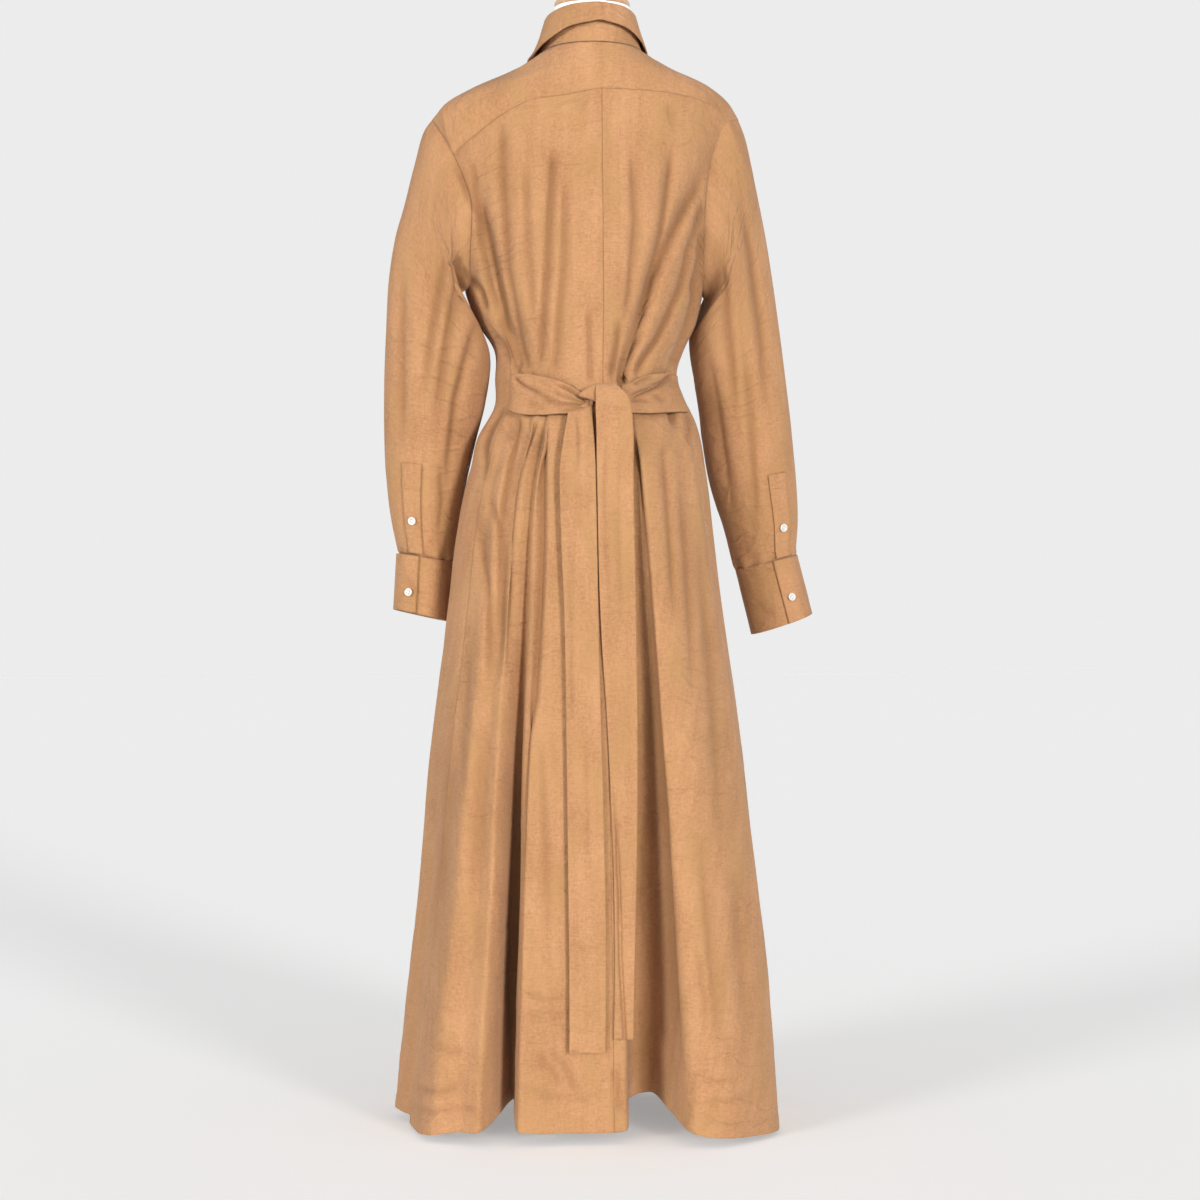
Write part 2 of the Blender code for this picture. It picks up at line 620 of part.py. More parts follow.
def stand_half(side):
    angles, fold = collar_ring(1)
    _, reach = collar_ring(2)
    base, low = stand_line(side, angles)
    base = neck_point(side, angles, base, low + 3 * SEAM)
    top = neck_point(side, angles, reach, fold)
    return np.array([mix(base, top, t) for t in np.linspace(0.0, 1.0, 4)])


def shoulder_height(x, y):
    """Height of the dress's plain surface over a place, and 0 inside the neck."""
    table = BODY[15:]
    width = table[:, 1 if x >= 0 else 2]
    depth = np.where(y > table[:, 5], table[:, 3], table[:, 4]) - table[:, 5]
    reach = np.hypot(x / width, (y - table[:, 5]) / depth)
    return np.interp(1.0, reach, table[:, 0]) if reach[-1] > 1.0 else 0.0


def over_shoulder(points):
    """Points raised where they come too near the shoulders."""
    made = points.copy()
    for point in made:
        x, y = point[:2]
        height = shoulder_height(x, y)
        fall = height - shoulder_height(1.03 * x, y + 0.03 * (y - NECK_AXIS[1]))
        slope = fall / (0.03 * math.hypot(x, y - NECK_AXIS[1]))
        point[2] = max(point[2], height + COLLAR_OVER * math.hypot(1.0, slope))
    return made


def leaf_half(side):
    """Leaf of the collar, over the stand's top edge and down outside it."""
    angles, fold = collar_ring(1)
    _, reach = collar_ring(2)
    _, drop = collar_ring(3)
    _, edge = collar_ring(4)
    base, low = stand_line(side, angles)
    clear = 0.0036 * np.hypot(1.0, (base - reach) / (fold - low))
    wide = 1 + 0.4 * ease((angles - 70.0) / 40.0)
    rows = [
        neck_point(side, angles, reach - 0.0005, fold + 0.0032 * wide),
        neck_point(side, angles, reach + 0.0028 * wide, fold + 0.0024 * wide),
        neck_point(side, angles, reach + 0.0044 * wide, fold - 0.0020),
    ]
    for t in (0.35, 0.7, 1.0):
        height = fold - 0.0020 - (drop - 0.0020) * t
        stand = mix(reach, base, np.clip((fold - height) / (fold - low), 0.0, 1.0))
        out = np.maximum(mix(reach + 0.0044, edge, t), stand + clear * wide)
        rows.append(over_shoulder(neck_point(side, angles, out, height)))
    return np.array(rows)


def both_halves(half):
    """Grid from the right half's end through the centre back to the left half's."""
    return np.concatenate((half(-1)[:, :0:-1], half(1)), axis=1)


# ---------------------------------------------------------------- belt and front band
def belt_piece(side):
    table = BELT[side]
    angles = np.linspace(table[0, 0], table[-1, 0], 13)
    order = table[::-1]
    low = smooth_curve(order[:, 0], order[:, 1], angles)
    high = smooth_curve(order[:, 0], order[:, 2], angles)
    lift = mix(0.0038, BELT_OUT, ease((table[0, 0] - angles) / 8.0))
    return np.array([body_point(side, angles, mix(low, high, t), lift)
                     for t in np.linspace(0.0, 1.0, 5)])


def back_at(panel, x, height):
    """y of the outer side of a back panel at x and a height."""
    across = np.abs(panel[:, :, 0])
    y = [np.interp(abs(x), across[j], panel[j, :, 1]) for j in range(len(panel))]
    z = [np.interp(abs(x), across[j], panel[j, :, 2]) for j in range(len(panel))]
    return np.interp(height, z, y)


def tail_edges(table, height):
    order = table[::-1]
    left = smooth_curve(order[:, 0], order[:, 1], height)
    right = smooth_curve(order[:, 0], order[:, 2], height)
    return np.linspace(left, right, 5)


def hang_y(panels, xs, height):
    """y of the outer side of a tail over the outermost crests behind it."""
    touch = max(back_at(panels[1 if x >= 0 else -1], x, height + up)
                for x in xs for up in (-0.004, 0.0, 0.004))
    return touch + LAID + BELT_CLOTH


def tail_under(panels):
    """Tail from under the left belt piece, hanging on the back of the skirt."""
    rows = []
    for t in np.linspace(1.0, 0.0, 14):
        height = mix(TAIL_UNDER[0, 0], TAIL_UNDER[-1, 0], t)
        xs = tail_edges(TAIL_UNDER, height)
        y = hang_y(panels, xs, height)
        shift = (1 - t) ** 4
        rows.append([(x, y, height + (under_top(x) - TAIL_UNDER[0, 0]) * shift) for x in xs])
    return np.array(rows)


def tail_over(panels):
    """Tail from behind the knot, over it and down the back of the skirt."""
    level, lift = KNOT[1:]
    middle = body_point(1, 0.0, level)[1] + lift
    clear = LAID + BELT_CLOTH
    rows = []
    for height in np.linspace(TAIL_OVER[-1, 0], level - 0.030, 12):
        xs = tail_edges(TAIL_OVER, height)
        y = hang_y(panels, xs, height)
        knot = middle + KNOT_SIZE[1] + clear
        y = max(y, mix(y, knot, ease((height - (level - KNOT_FADE)) / (KNOT_FADE - 0.015))))
        rows.append([(x, y, height) for x in xs])
    for turn in (-25.0, 0.0, 25.0, 50.0, 75.0, 100.0, 125.0):
        turn = math.radians(turn)
        height = level + (KNOT_SIZE[2] + clear) * math.sin(turn)
        y = middle + (KNOT_SIZE[1] + clear) * math.cos(turn)
        rows.append([(x, y, height) for x in tail_edges(TAIL_OVER, height)])
    return np.array(rows)


def under_top(x):
    """Upper end of the under tail, along the lower edge of the belt's left piece."""
    order = BELT[1][::-1]
    angle = math.degrees(math.asin(x / 0.12))
    return smooth_curve(order[:, 0], order[:, 1], angle) - 2 * SEAM


def band():
    """Front band, over the meeting edges of the two fronts."""
    left, right = front_panel(1), front_panel(-1)
    xs = np.linspace(-BAND_WIDTH / 2, BAND_WIDTH / 2, 5)
    rows = []
    for j in range(len(left)):
        line = np.concatenate((right[j], left[j][::-1]))
        order = np.argsort(line[:, 0])
        y = np.interp(xs, line[order, 0], line[order, 1]) - LAID - CLOTH
        z = np.interp(xs, line[order, 0], line[order, 2])
        rows.append(np.stack((xs, y, z), axis=-1))
    return np.array(rows)


# ---------------------------------------------------------------- mesh building
def make_material(name, colour, roughness, metallic):
    material = bpy.data.materials.get(name) or bpy.data.materials.new(name)
    material.use_nodes = True
    shader = material.node_tree.nodes["Principled BSDF"]
    shader.inputs["Base Color"].default_value = colour
    shader.inputs["Roughness"].default_value = roughness
    shader.inputs["Metallic"].default_value = metallic
    material.diffuse_color = colour
    return material


def unit(vectors):
    return vectors / np.linalg.norm(vectors, axis=-1, keepdims=True)


def grid_normals(points, flip, ring=False):
    """Unit normals at the points of a grid, from its faces weighted by their angles."""
    if ring:
        points = np.concatenate((points[:, -1:], points, points[:, :1]), axis=1)
    corner = (points[:-1, :-1], points[:-1, 1:], points[1:, 1:], points[1:, :-1])
    face = unit(np.cross(corner[2] - corner[0], corner[3] - corner[1]))
    total = np.zeros_like(points)
    places = ((slice(-1), slice(-1)), (slice(-1), slice(1, None)),
              (slice(1, None), slice(1, None)), (slice(1, None), slice(-1)))
    for k, place in enumerate(places):
        before = unit(corner[k - 1] - corner[k])
        after = unit(corner[(k + 1) % 4] - corner[k])
        angle = np.arccos(np.clip(np.sum(before * after, axis=-1), -1.0, 1.0))
        total[place] += face * angle[..., None]
    if ring:
        total = total[:, 1:-1]
    return unit(-total if flip else total)


def draw_back(edge, inner, beyond, normal, ring=False):
    """Moves edge points back from a seam, further where the two walls lean together."""
    if ring:
        run = unit(np.roll(edge, -1, axis=0) - np.roll(edge, 1, axis=0))
    else:
        run = unit(np.gradient(edge, axis=0))
    own = unit(inner - edge)
    across = own - np.sum(own * run, axis=-1, keepdims=True) * run
    away = beyond - edge
    away = away - np.sum(away * run, axis=-1, keepdims=True) * run
    apart = unit(unit(across) - unit(away))
    lean = np.maximum(np.sum(normal * apart, axis=-1), 0.0)
    slant = np.maximum(np.linalg.norm(across, axis=-1), 0.2)
    edge += own * ((SEAM / 2 + 1.15 * CLOTH * lean) / slant)[:, None]


def grid_object(name, points, material, wall, flip=False, ring=False):
    """Object from a grid of points (its outer side), with a wall added inside."""
    rows, columns = points.shape[:2]
    mesh = bpy.data.meshes.new(name)
    bm = bmesh.new()
    verts = [[bm.verts.new(p) for p in row] for row in points]
    for j in range(rows - 1):
        for i in range(columns if ring else columns - 1):
            k = (i + 1) % columns
            face = [verts[j][i], verts[j][k], verts[j + 1][k], verts[j + 1][i]]
            bm.faces.new(face[::-1] if flip else face)
    bm.to_mesh(mesh)
    bm.free()
    mesh.shade_smooth()
    made = bpy.data.objects.new(name, mesh)
    solidify = made.modifiers.new("wall", "SOLIDIFY")
    solidify.thickness = wall
    solidify.offset = -1.0
    made.data.materials.append(make_material(*material))
    return made


def loft_object(name, rings, material, smooth=True):
    """Closed object through rings of points going up, with flat ends."""
    mesh = bpy.data.meshes.new(name)
    bm = bmesh.new()
    verts = [[bm.verts.new(p) for p in ring] for ring in rings]
    count = len(verts[0])
    for low, high in zip(verts, verts[1:]):
        for i in range(count):
            k = (i + 1) % count
            bm.faces.new((low[i], low[k], high[k], high[i])).smooth = smooth
    bm.faces.new(verts[0][::-1])
    bm.faces.new(verts[-1])
    bm.to_mesh(mesh)
    bm.free()
    made = bpy.data.objects.new(name, mesh)
    made.data.materials.append(make_material(*material))
    return made


def solid_object(name, bm, material, scale=(1.0, 1.0, 1.0)):
    """Object from a primitive, stretched along its axes."""
    bmesh.ops.scale(bm, vec=scale, verts=bm.verts)
    mesh = bpy.data.meshes.new(name)
    bm.to_mesh(mesh)
    bm.free()
    mesh.shade_smooth()
    mesh.set_sharp_from_angle(angle=math.radians(40.0))
    made = bpy.data.objects.new(name, mesh)
    made.data.materials.append(make_material(*material))
    return made


def rod_object(name, material, segments, depth, low, high, scale=(1.0, 1.0, 1.0)):
    """Upright rod or disc with the radii `low` and `high`, around its own middle."""
    bm = bmesh.new()
    bmesh.ops.create_cone(bm, cap_ends=True, segments=segments, radius1=low, radius2=high,
                          depth=depth)
    return solid_object(name, bm, material, scale)


def turned_object(name, profile, steps, material):
    """Round object from the (radius, height) points of its profile, top to bottom."""
    mesh = bpy.data.meshes.new(name)
    mesh.from_pydata([(radius, 0.0, height) for radius, height in profile],
                     [(i, i + 1) for i in range(len(profile) - 1)], [])
    made = bpy.data.objects.new(name, mesh)
    screw = made.modifiers.new("turn", "SCREW")
    screw.steps = screw.render_steps = steps
    screw.use_merge_vertices = True
    screw.merge_threshold = 0.0001
    made.data.materials.append(make_material(*material))
    return made


def button(name, point, normal):
    """Round button standing on a point of the cloth."""
    axis = Vector(normal).normalized()
    made = rod_object(name, PEARL, 10, BUTTON_THICK, BUTTON_RADIUS, 0.92 * BUTTON_RADIUS)
    made.location = Vector(point) + axis * (1.3 * LAID + BUTTON_THICK / 2)
    made.rotation_euler = axis.to_track_quat("Z", "Y").to_euler()
    return made


def surface(points, row, column):
    """Point and outward normal of a grid between its points."""
    j, i = int(row), int(column)
    v, u = row - j, column - i
    corner = points[j:j + 2, i:i + 2]
    point = mix(mix(corner[0, 0], corner[0, 1], u), mix(corner[1, 0], corner[1, 1], u), v)
    along = mix(corner[0, 1] - corner[0, 0], corner[1, 1] - corner[1, 0], v)
    up = mix(corner[1, 0] - corner[0, 0], corner[1, 1] - corner[0, 1], u)
    return point, np.cross(along, up)


# ---------------------------------------------------------------- pieces
def build_cloth(add):
    """Panels, yoke and sleeves, which meet at seams along shared points."""
    low = len(low_heights())
    up = len(ARMHOLE_BACK) - 1
    over = len(ARMHOLE_TOP) - 1
    down = len(ARMHOLE_FRONT) - 1
    backs = {side: back_panel(side) for side in (1, -1)}
    fronts = {side: front_panel(side) for side in (1, -1)}
    yokes = {side: yoke_half(side) for side in (1, -1)}
    tubes = {side: sleeve(side) for side in (1, -1)}
    source = {side: (backs[side].copy(), fronts[side].copy(), yokes[side].copy(),
                     tubes[side].copy()) for side in (1, -1)}
    for side in (1, -1):
        back, front, top, tube = source[side]
        other_back, other_front = source[-side][:2]
        wide = back.shape[1]

        made, out = backs[side], grid_normals(back, side > 0)
        draw_back(made[:, 0], back[:, 1], other_back[:, 1], out[:, 0])
        beyond = np.concatenate((front[:low, 1], tube[1, 1:up + 1]))
        draw_back(made[:, -1], back[:, -2], beyond, out[:, -1])
        draw_back(made[-1], back[-2], top[1, :wide], out[-1])

        made, out = fronts[side], grid_normals(front, side > 0)
        armhole_next = tube[1, :up + over - 1:-1]
        beyond = np.concatenate((back[:low, -2], armhole_next, top[1:, -2]))
        draw_back(made[:, 0], front[:, 1], beyond, out[:, 0])
        draw_back(made[:, -1], front[:, -2], other_front[:, -2], out[:, -1])

        made, out = yokes[side], grid_normals(top, side > 0)
        beyond = np.concatenate((back[-2], tube[1, up + 1:up + over + 1]))
        draw_back(made[0], top[1], beyond, out[0])
        draw_back(made[:, -1], top[:, -2], front[-len(top):, 1], out[:, -1])

        made, out = tubes[side], grid_normals(tube, side < 0, ring=True)
        beyond = np.concatenate((back[low - 1:-1, -2], top[1, wide - 1:-1],
                                 front[low - 1 + down:low - 1:-1, 1]))
        draw_back(made[0], tube[1], beyond, out[0], ring=True)
    for side, word in ((1, "left"), (-1, "right")):
        left = side > 0
        add(grid_object(f"back_{word}", backs[side], LINEN, CLOTH, flip=left))
        add(grid_object(f"front_{word}", fronts[side], LINEN, CLOTH, flip=left))
        tube = tubes[side]
        add(grid_object(f"sleeve_{word}", tube, LINEN, CLOTH, flip=not left, ring=True))
    whole = np.concatenate((yokes[-1][:, :0:-1], yokes[1]), axis=1)
    add(grid_object("yoke", whole, LINEN, CLOTH, flip=True))


def build_trim(add):
    """Collar, cuffs, plackets, front band and belt."""
    add(grid_object("collar_stand", both_halves(stand_half), LINEN, BELT_CLOTH, flip=True))
    add(grid_object("collar_leaf", both_halves(leaf_half), LINEN, BELT_CLOTH))
    add(grid_object("front_band", band(), LINEN, CLOTH))
    for side, word in ((1, "left"), (-1, "right")):
        left = side > 0
        add(grid_object(f"cuff_{word}", cuff(side), LINEN, BELT_CLOTH, flip=left))
        strip = placket(side)
        add(grid_object(f"sleeve_placket_{word}", strip, LINEN, CLOTH, flip=left))
        add(grid_object(f"belt_{word}", belt_piece(side), LINEN, BELT_CLOTH, flip=not left))
    panels = {side: back_panel(side) for side in (1, -1)}
    add(grid_object("belt_tail_under", tail_under(panels), LINEN, BELT_CLOTH))
    add(grid_object("belt_tail_over", tail_over(panels), LINEN, BELT_CLOTH))
    x, level, lift = KNOT
    bm = bmesh.new()
    bmesh.ops.create_uvsphere(bm, u_segments=16, v_segments=8, radius=1.0)
    knot = solid_object("belt_knot", bm, LINEN, KNOT_SIZE)
    knot.location = (x, body_point(1, 0.0, level)[1] + lift, level)
    add(knot)


def build_buttons(add):
    """Buttons down the front, on the plackets and on the cuffs."""
    strip = band()
    levels = strip[:, 2, 2]
    heights = np.linspace(1.268, 0.250, FRONT_BUTTONS)
    for number, height in enumerate(heights, 1):
        row = np.interp(height, levels, np.arange(len(levels)))
        point, normal = surface(strip, row, 2.0)
        outward = normal if normal[1] < 0 else -normal
        add(button(f"button_front_{number:02d}", point, outward))
    for side, word in ((1, "left"), (-1, "right")):
        middle = np.array(WRIST[side])
        grids = (("placket", placket(side), 2), ("cuff", cuff(side), 1))
        for (part, grid, column), height in zip(grids, SLEEVE_BUTTONS[side]):
            row = np.interp(height, grid[:, column, 2], np.arange(len(grid)))
            point, normal = surface(grid, row, column)
            outward = normal if normal @ (point - middle) > 0 else -normal
            add(button(f"button_{part}_{word}", point, outward))


def build_form(add):
    """Limbless form with a wooden cap, on a pole and a steel plate."""
    turn = np.linspace(0.0, 2 * np.pi, FORM_SIDES, endpoint=False)
    rings = []
    for height, half, back, front, middle in FORM:
        depth = np.where(np.sin(turn) > 0, back - middle, middle - front)
        rings.append(np.stack((half * np.cos(turn), middle + depth * np.sin(turn),
                               np.full(FORM_SIDES, height)), axis=-1))
    add(loft_object("form_torso", rings, JERSEY))
    low = FORM[-1, 0] + SEAM
    radius = FORM[-1, 1]
    dome = CAP_TOP - low - CAP_EDGE
    profile = [(radius * math.cos(a), low + CAP_EDGE + dome * math.sin(a))
               for a in np.radians((90.0, 70.0, 52.0, 35.0, 18.0, 0.0))]
    cap = turned_object("form_cap", profile + [(radius, low), (0.0, low)], FORM_SIDES, BEECH)
    cap.location.y = FORM[-1, 4]
    add(cap)
    foot = BASE_THICK + SEAM
    head = FORM[0, 0] - SEAM
    pole = rod_object("form_pole", STEEL, 16, head - foot, POLE_RADIUS, POLE_RADIUS)
    pole.location.z = (head + foot) / 2
    add(pole)
    x, y, half, depth = BASE
    plate = rod_object("form_base", STEEL, 32, BASE_THICK, 1.0, 1.0, (half, depth, 1.0))
    bevel = plate.modifiers.new("edge", "BEVEL")
    bevel.width = 0.002
    bevel.segments = 1
    plate.location = (x, y, BASE_THICK / 2)
    add(plate)


def main():
    for old in list(bpy.data.objects):
        bpy.data.objects.remove(old, do_unlink=True)
    dress = bpy.data.collections.new("shirt_dress")
    bpy.context.scene.collection.children.link(dress)
    add = dress.objects.link
    build_cloth(add)
    build_trim(add)
    build_buttons(add)
    build_form(add)


main()
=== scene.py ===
"""Looks of a long-sleeved linen shirt dress with a back-tied belt, on a limbless dress form.

The tables and the functions of the dress's surface are those of the part's own source, so
every piece of cloth here lies on its solid. Metres, +Z up, the wearer's back at +Y.
"""
import math

import bpy
import numpy as np
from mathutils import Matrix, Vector


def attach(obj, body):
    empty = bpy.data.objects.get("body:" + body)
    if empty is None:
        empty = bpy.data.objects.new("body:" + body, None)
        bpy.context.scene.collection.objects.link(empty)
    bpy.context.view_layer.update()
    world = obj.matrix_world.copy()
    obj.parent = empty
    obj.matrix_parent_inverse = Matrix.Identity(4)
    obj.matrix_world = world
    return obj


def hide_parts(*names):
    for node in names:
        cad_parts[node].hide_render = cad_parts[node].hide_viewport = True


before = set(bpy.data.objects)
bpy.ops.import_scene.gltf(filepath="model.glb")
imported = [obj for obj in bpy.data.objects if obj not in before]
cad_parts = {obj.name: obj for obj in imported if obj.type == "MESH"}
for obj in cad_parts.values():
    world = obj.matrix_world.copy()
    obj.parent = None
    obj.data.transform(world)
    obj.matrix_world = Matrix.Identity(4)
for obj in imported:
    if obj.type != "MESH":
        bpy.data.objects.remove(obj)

LAYER = 0.0013          # wall of one layer of linen as shown
THREAD = 0.0009         # pitch of the weave
STITCH = 0.0028         # pitch of the sewing
HEM_TURN = 0.021        # height of the turned hem and of its stitching
HEM_STITCH = 0.0185
HEM_STEPS = (0.0, 0.02, 0.06, 0.10, 0.14, 0.16, 0.175, 0.185, 0.20, 0.21, 0.225, 0.25, 0.30)
BUTTON_PROFILE = ((0.90, 0.0), (0.98, 0.15), (1.0, 0.42), (0.96, 0.75), (0.86, 0.96),
                  (0.76, 1.0), (0.66, 0.90), (0.56, 0.68), (0.48, 0.62), (0.2, 0.6))
BUTTON_DISH = 0.62      # height of its dished middle, as a share of its thickness
HOLE_APART = 0.26       # place of a hole, as a share of the button's radius
HOLE_RADIUS = 0.00062
HOLE_LIFT = 0.00004     # above the dished middle
THREAD_REACH = 2.45     # reach of a thread's path, which leaves room for one whole stitch
STITCH_SHARE = 0.68     # share of the pitch that a stitch covers
SIDES = ((1, "left"), (-1, "right"))

EDGE_WIDTH = 0.018      # over which the crumples fade out beside a sewn edge
PRESSED = 0.0003        # how far a sewn edge is pressed in
ALLOWANCE = 0.005       # width of a seam allowance
ALLOWANCE_UNDER = 0.0024    # how far it lies under the neighbouring piece
PANEL_DEEPEN, PANEL_WIDEN = 2.2, 1.5    # gains of the creases in the dress's cloth
TRIM_DEEPEN = 2.3       # and of those in the smaller pieces
BELT_MIDDLE = 0.917     # height of the belt, under which nothing stands out
SOFT_FOLD = (0.085, 0.008)      # length and width of the cloth's own soft folds
FINE_CRUMPLE = (0.00035, 0.018, 0.006, 0.9)     # depth, length, width and lean
HEM_CRUMPLES = (
    # height they end at and fade over, seed, number, depth, length, width and lean
    (0.22, 0.16, 90, 110, 0.0020, 0.030, 0.006, 1.1),
    (0.62, 0.30, 91, 150, 0.0011, 0.035, 0.005, 0.8),
)
UNDER_SLEEVE = (1.012, 0.06)    # middle and half height of stretches that are moved
LEFT_HIP = (0.868, 0.045)
LEFT_SHOULDER = (1.13, 0.10)

MIX_LOW, MIX_HIGH, MIX_SHOWN = 6, 7, 2  # colour sockets of a mix node
LINEN_DARK = (0.306, 0.141, 0.053, 1.0)
LINEN_LIGHT = (0.546, 0.285, 0.138, 1.0)
LINEN_OLIVE = (0.393, 0.217, 0.080, 1.0)
# colour of the painted shade that darkens the linen along its crease troughs
LINEN_PAINTED_SHADE = (0.215, 0.090, 0.030, 1.0)
TURN = math.radians(10.5)
AWAY = np.array((math.sin(TURN), math.cos(TURN), 0.0))      # from the dress to the camera
RIGHT = np.array((-math.cos(TURN), math.sin(TURN), 0.0))    # the picture's right
EYE = 3.4 * AWAY + 0.01667 * RIGHT + np.array((0.0, 0.0, 0.66))
FOCUS = 2652.0          # focal length in pixels of a frame of 1200 by 1200
FRAME = 1200
SENSOR = 36.0           # width of the camera's sensor in mm
SKY = 0.84
OVERHEAD = (0.36, 0.75, 0.34)   # heights over which the sky darkens, and to what share
FLOOR = (0.80, 0.80, 0.80, 1.0)
FLOOR_SIZE = 40.0
FLOOR_DROP = 0.0002     # of the floor under the plate
GLOW = 0.297            # light the floor gives, so that it meets the sky unseen
LIGHTS = (
    # name, strength, softness in degrees, direction towards the light
    ("key", 2.6, 12.0, tuple(AWAY + 0.55 * RIGHT + np.array((0.0, 0.0, 0.15)))),
    ("fill", 2.1, 18.0, tuple(AWAY - 0.90 * RIGHT + np.array((0.0, 0.0, 0.22)))),
)
LOOKS = (
    # name, dark and light colour, roughness, scale of the grain, other settings
    ("sewing_thread", (0.30, 0.15, 0.06), (0.46, 0.25, 0.12), 0.7, 900.0, {"Sheen_Weight": 0.2}),
    ("pearl_plastic_look", (0.52, 0.49, 0.45), (0.66, 0.64, 0.61), 0.22, 260.0,
     {"Coat_Weight": 0.6, "rise": 0.00005}),
    ("button_thread", (0.75, 0.70, 0.60), (0.90, 0.86, 0.78), 0.7, 900.0, {}),
    # dark discs over the buttons' holes: painted shade in place of the holes' shaded insides
    ("button_hole", (0.20, 0.14, 0.09), (0.30, 0.22, 0.15), 0.8, 900.0, {}),
    ("form_jersey_knit", (0.80, 0.80, 0.79), (0.92, 0.92, 0.91), 0.85, (700.0, 700.0, 420.0),
     {"Sheen_Weight": 0.2}),
    ("form_beech", (0.40, 0.22, 0.11), (0.62, 0.40, 0.22), 0.42, (26.0, 160.0, 26.0),
     {"Coat_Weight": 0.25, "rise": 0.0001}),
    ("form_white_paint", (0.80, 0.80, 0.80), (0.88, 0.88, 0.88), 0.35, 300.0,
     {"Coat_Weight": 0.2, "rise": 0.00008}),
)

# ---- driving sizes
CLOTH = 0.0016          # wall of one layer of linen
BELT_CLOTH = 0.0022     # wall of the two layers of the belt
SEAM = 0.0003           # gap between pieces at a seam
LAID = 0.0005           # gap under a piece that lies on another

HEM = 0.014             # height of the hem
HEM_REACH = 0.35        # height over which a raised hem fades out
BELT_LOW = 0.892        # heights of the belt's edges
BELT_HIGH = 0.942
UNDERARM = 1.055
YOKE_BACK = 1.2965      # height of the yoke seam at the centre back
YOKE_CURVE = {1: 1.6, -1: 5.0}
NECK_FRONT = 1.292      # height of the neckline at the centre front
FRONT_SEAM = 112.0      # angle of the front yoke seams
CHEST_FADE = 1.21       # height where the folds above the belt end

SKIRT_ROWS = 12         # rows of points from the hem to the belt
BODICE_ROWS = 4         # rows from the belt to the underarm
YOKE_ROWS = 4           # rows from the yoke seam to the neckline

BUTTON_RADIUS = 0.0055
BUTTON_THICK = 0.0024
BAND_WIDTH = 0.032      # front band
CUFF_LAP = 26.0         # degrees of overlap in a cuff
CUFF_LIFT = 0.0030      # height of the upper layer over the lower one
FRONT_BUTTONS = 10

POLE_RADIUS = 0.0125
BASE = (0.010, -0.020, 0.058, 0.120)    # x, y and half sizes of the oval plate
BASE_THICK = 0.012


def table(scale, *rows):
    """Array of rows of whole numbers over one scale, or over one for each column."""
    return np.array(rows) / scale


# ---- tables
# Whole numbers over the scale that stands first: 10000 for tenths of a millimetre, 1000
# for millimetres or thousandths, 10 for tenths of a degree.

# One row for each level section of the dress without its folds.
# Columns: height, half width on the left, half width on the right,
# y of the back, y of the front, y where the section is widest.
BODY = table(10000,
    (0, 2400, 2320, 1700, -1850, 0), (1500, 2270, 2310, 1660, -1750, 0),
    (3000, 2115, 2215, 1580, -1600, 0), (4500, 2010, 2060, 1500, -1460, 0),
    (6000, 1840, 1840, 1420, -1340, 0), (7000, 1730, 1690, 1360, -1260, 0),
    (7800, 1630, 1590, 1310, -1190, 0), (8300, 1500, 1520, 1270, -1140, 0),
    (8660, 1350, 1460, 1230, -1100, 0), (8920, 1230, 1370, 1190, -1070, 0),
    (9180, 1180, 1240, 1150, -1040, 0), (9420, 1185, 1155, 1130, -1040, 0),
    (9680, 1140, 1180, 1140, -1080, 0), (9960, 1270, 1310, 1170, -1150, 0),
    (10300, 1460, 1410, 1180, -1220, 0), (10600, 1580, 1500, 1170, -1260, 0),
    (11000, 1710, 1580, 1150, -1220, 0), (11600, 1810, 1670, 1120, -1080, 0),
    (12080, 1950, 1740, 1090, -920, 0), (12400, 1990, 1820, 1080, -800, 0),
    (12680, 2010, 1980, 1070, -670, 20), (12820, 1910, 1970, 1065, -600, 40),
    (12940, 1760, 1870, 1060, -550, 60), (13070, 1525, 1740, 1050, -500, 100),
    (13190, 1240, 1500, 1040, -460, 150), (13310, 980, 1170, 1025, -410, 200),
    (13430, 785, 840, 1000, -360, 260), (13510, 655, 680, 980, -330, 300),
    (13600, 570, 580, 950, -280, 340))

# One row for each crest or trough, from the centre back (share 0) to the side seam (1).
# Columns: share at the chest, at the belt, at the hem; lift above the belt, under it
# and at the hem (outward, a trough is negative); rise of the hem.
BACK_FOLDS = {
    1: table(1000,
        (0, 0, 0, 0, 0, 18, 0), (50, 60, 80, 0, 0, 18, 0), (130, 150, 180, -4, 3, 16, 0),
        (240, 300, 280, 3, -2, 22, 0), (420, 500, 395, 3, 4, 26, 3),
        (480, 540, 450, -4, -6, -50, 28), (550, 600, 500, 2, 1, -6, 16),
        (620, 660, 560, 3, 4, 42, 2), (700, 710, 660, -4, -4, 36, 0),
        (780, 800, 770, 4, 3, 44, -5), (900, 910, 890, -3, -4, 26, -9),
        (1000, 1000, 1000, 0, 0, 8, -10)),
    -1: table(1000,
        (0, 0, 0, 0, 0, 18, 0), (50, 50, 50, 0, 1, 18, 2), (120, 100, 120, -3, 1, -48, 26),
        (220, 140, 180, 3, -2, -62, 30), (360, 200, 250, -9, -5, -52, 33),
        (460, 270, 290, 3, 4, 62, 2), (560, 400, 420, -6, 2, 82, -4),
        (660, 550, 570, 4, 0, 76, -7), (740, 700, 690, -6, -3, 68, -9),
        (840, 820, 800, 3, 3, 48, -10), (920, 910, 900, 0, -2, 22, -10),
        (1000, 1000, 1000, 0, 0, 2, -10)),
}

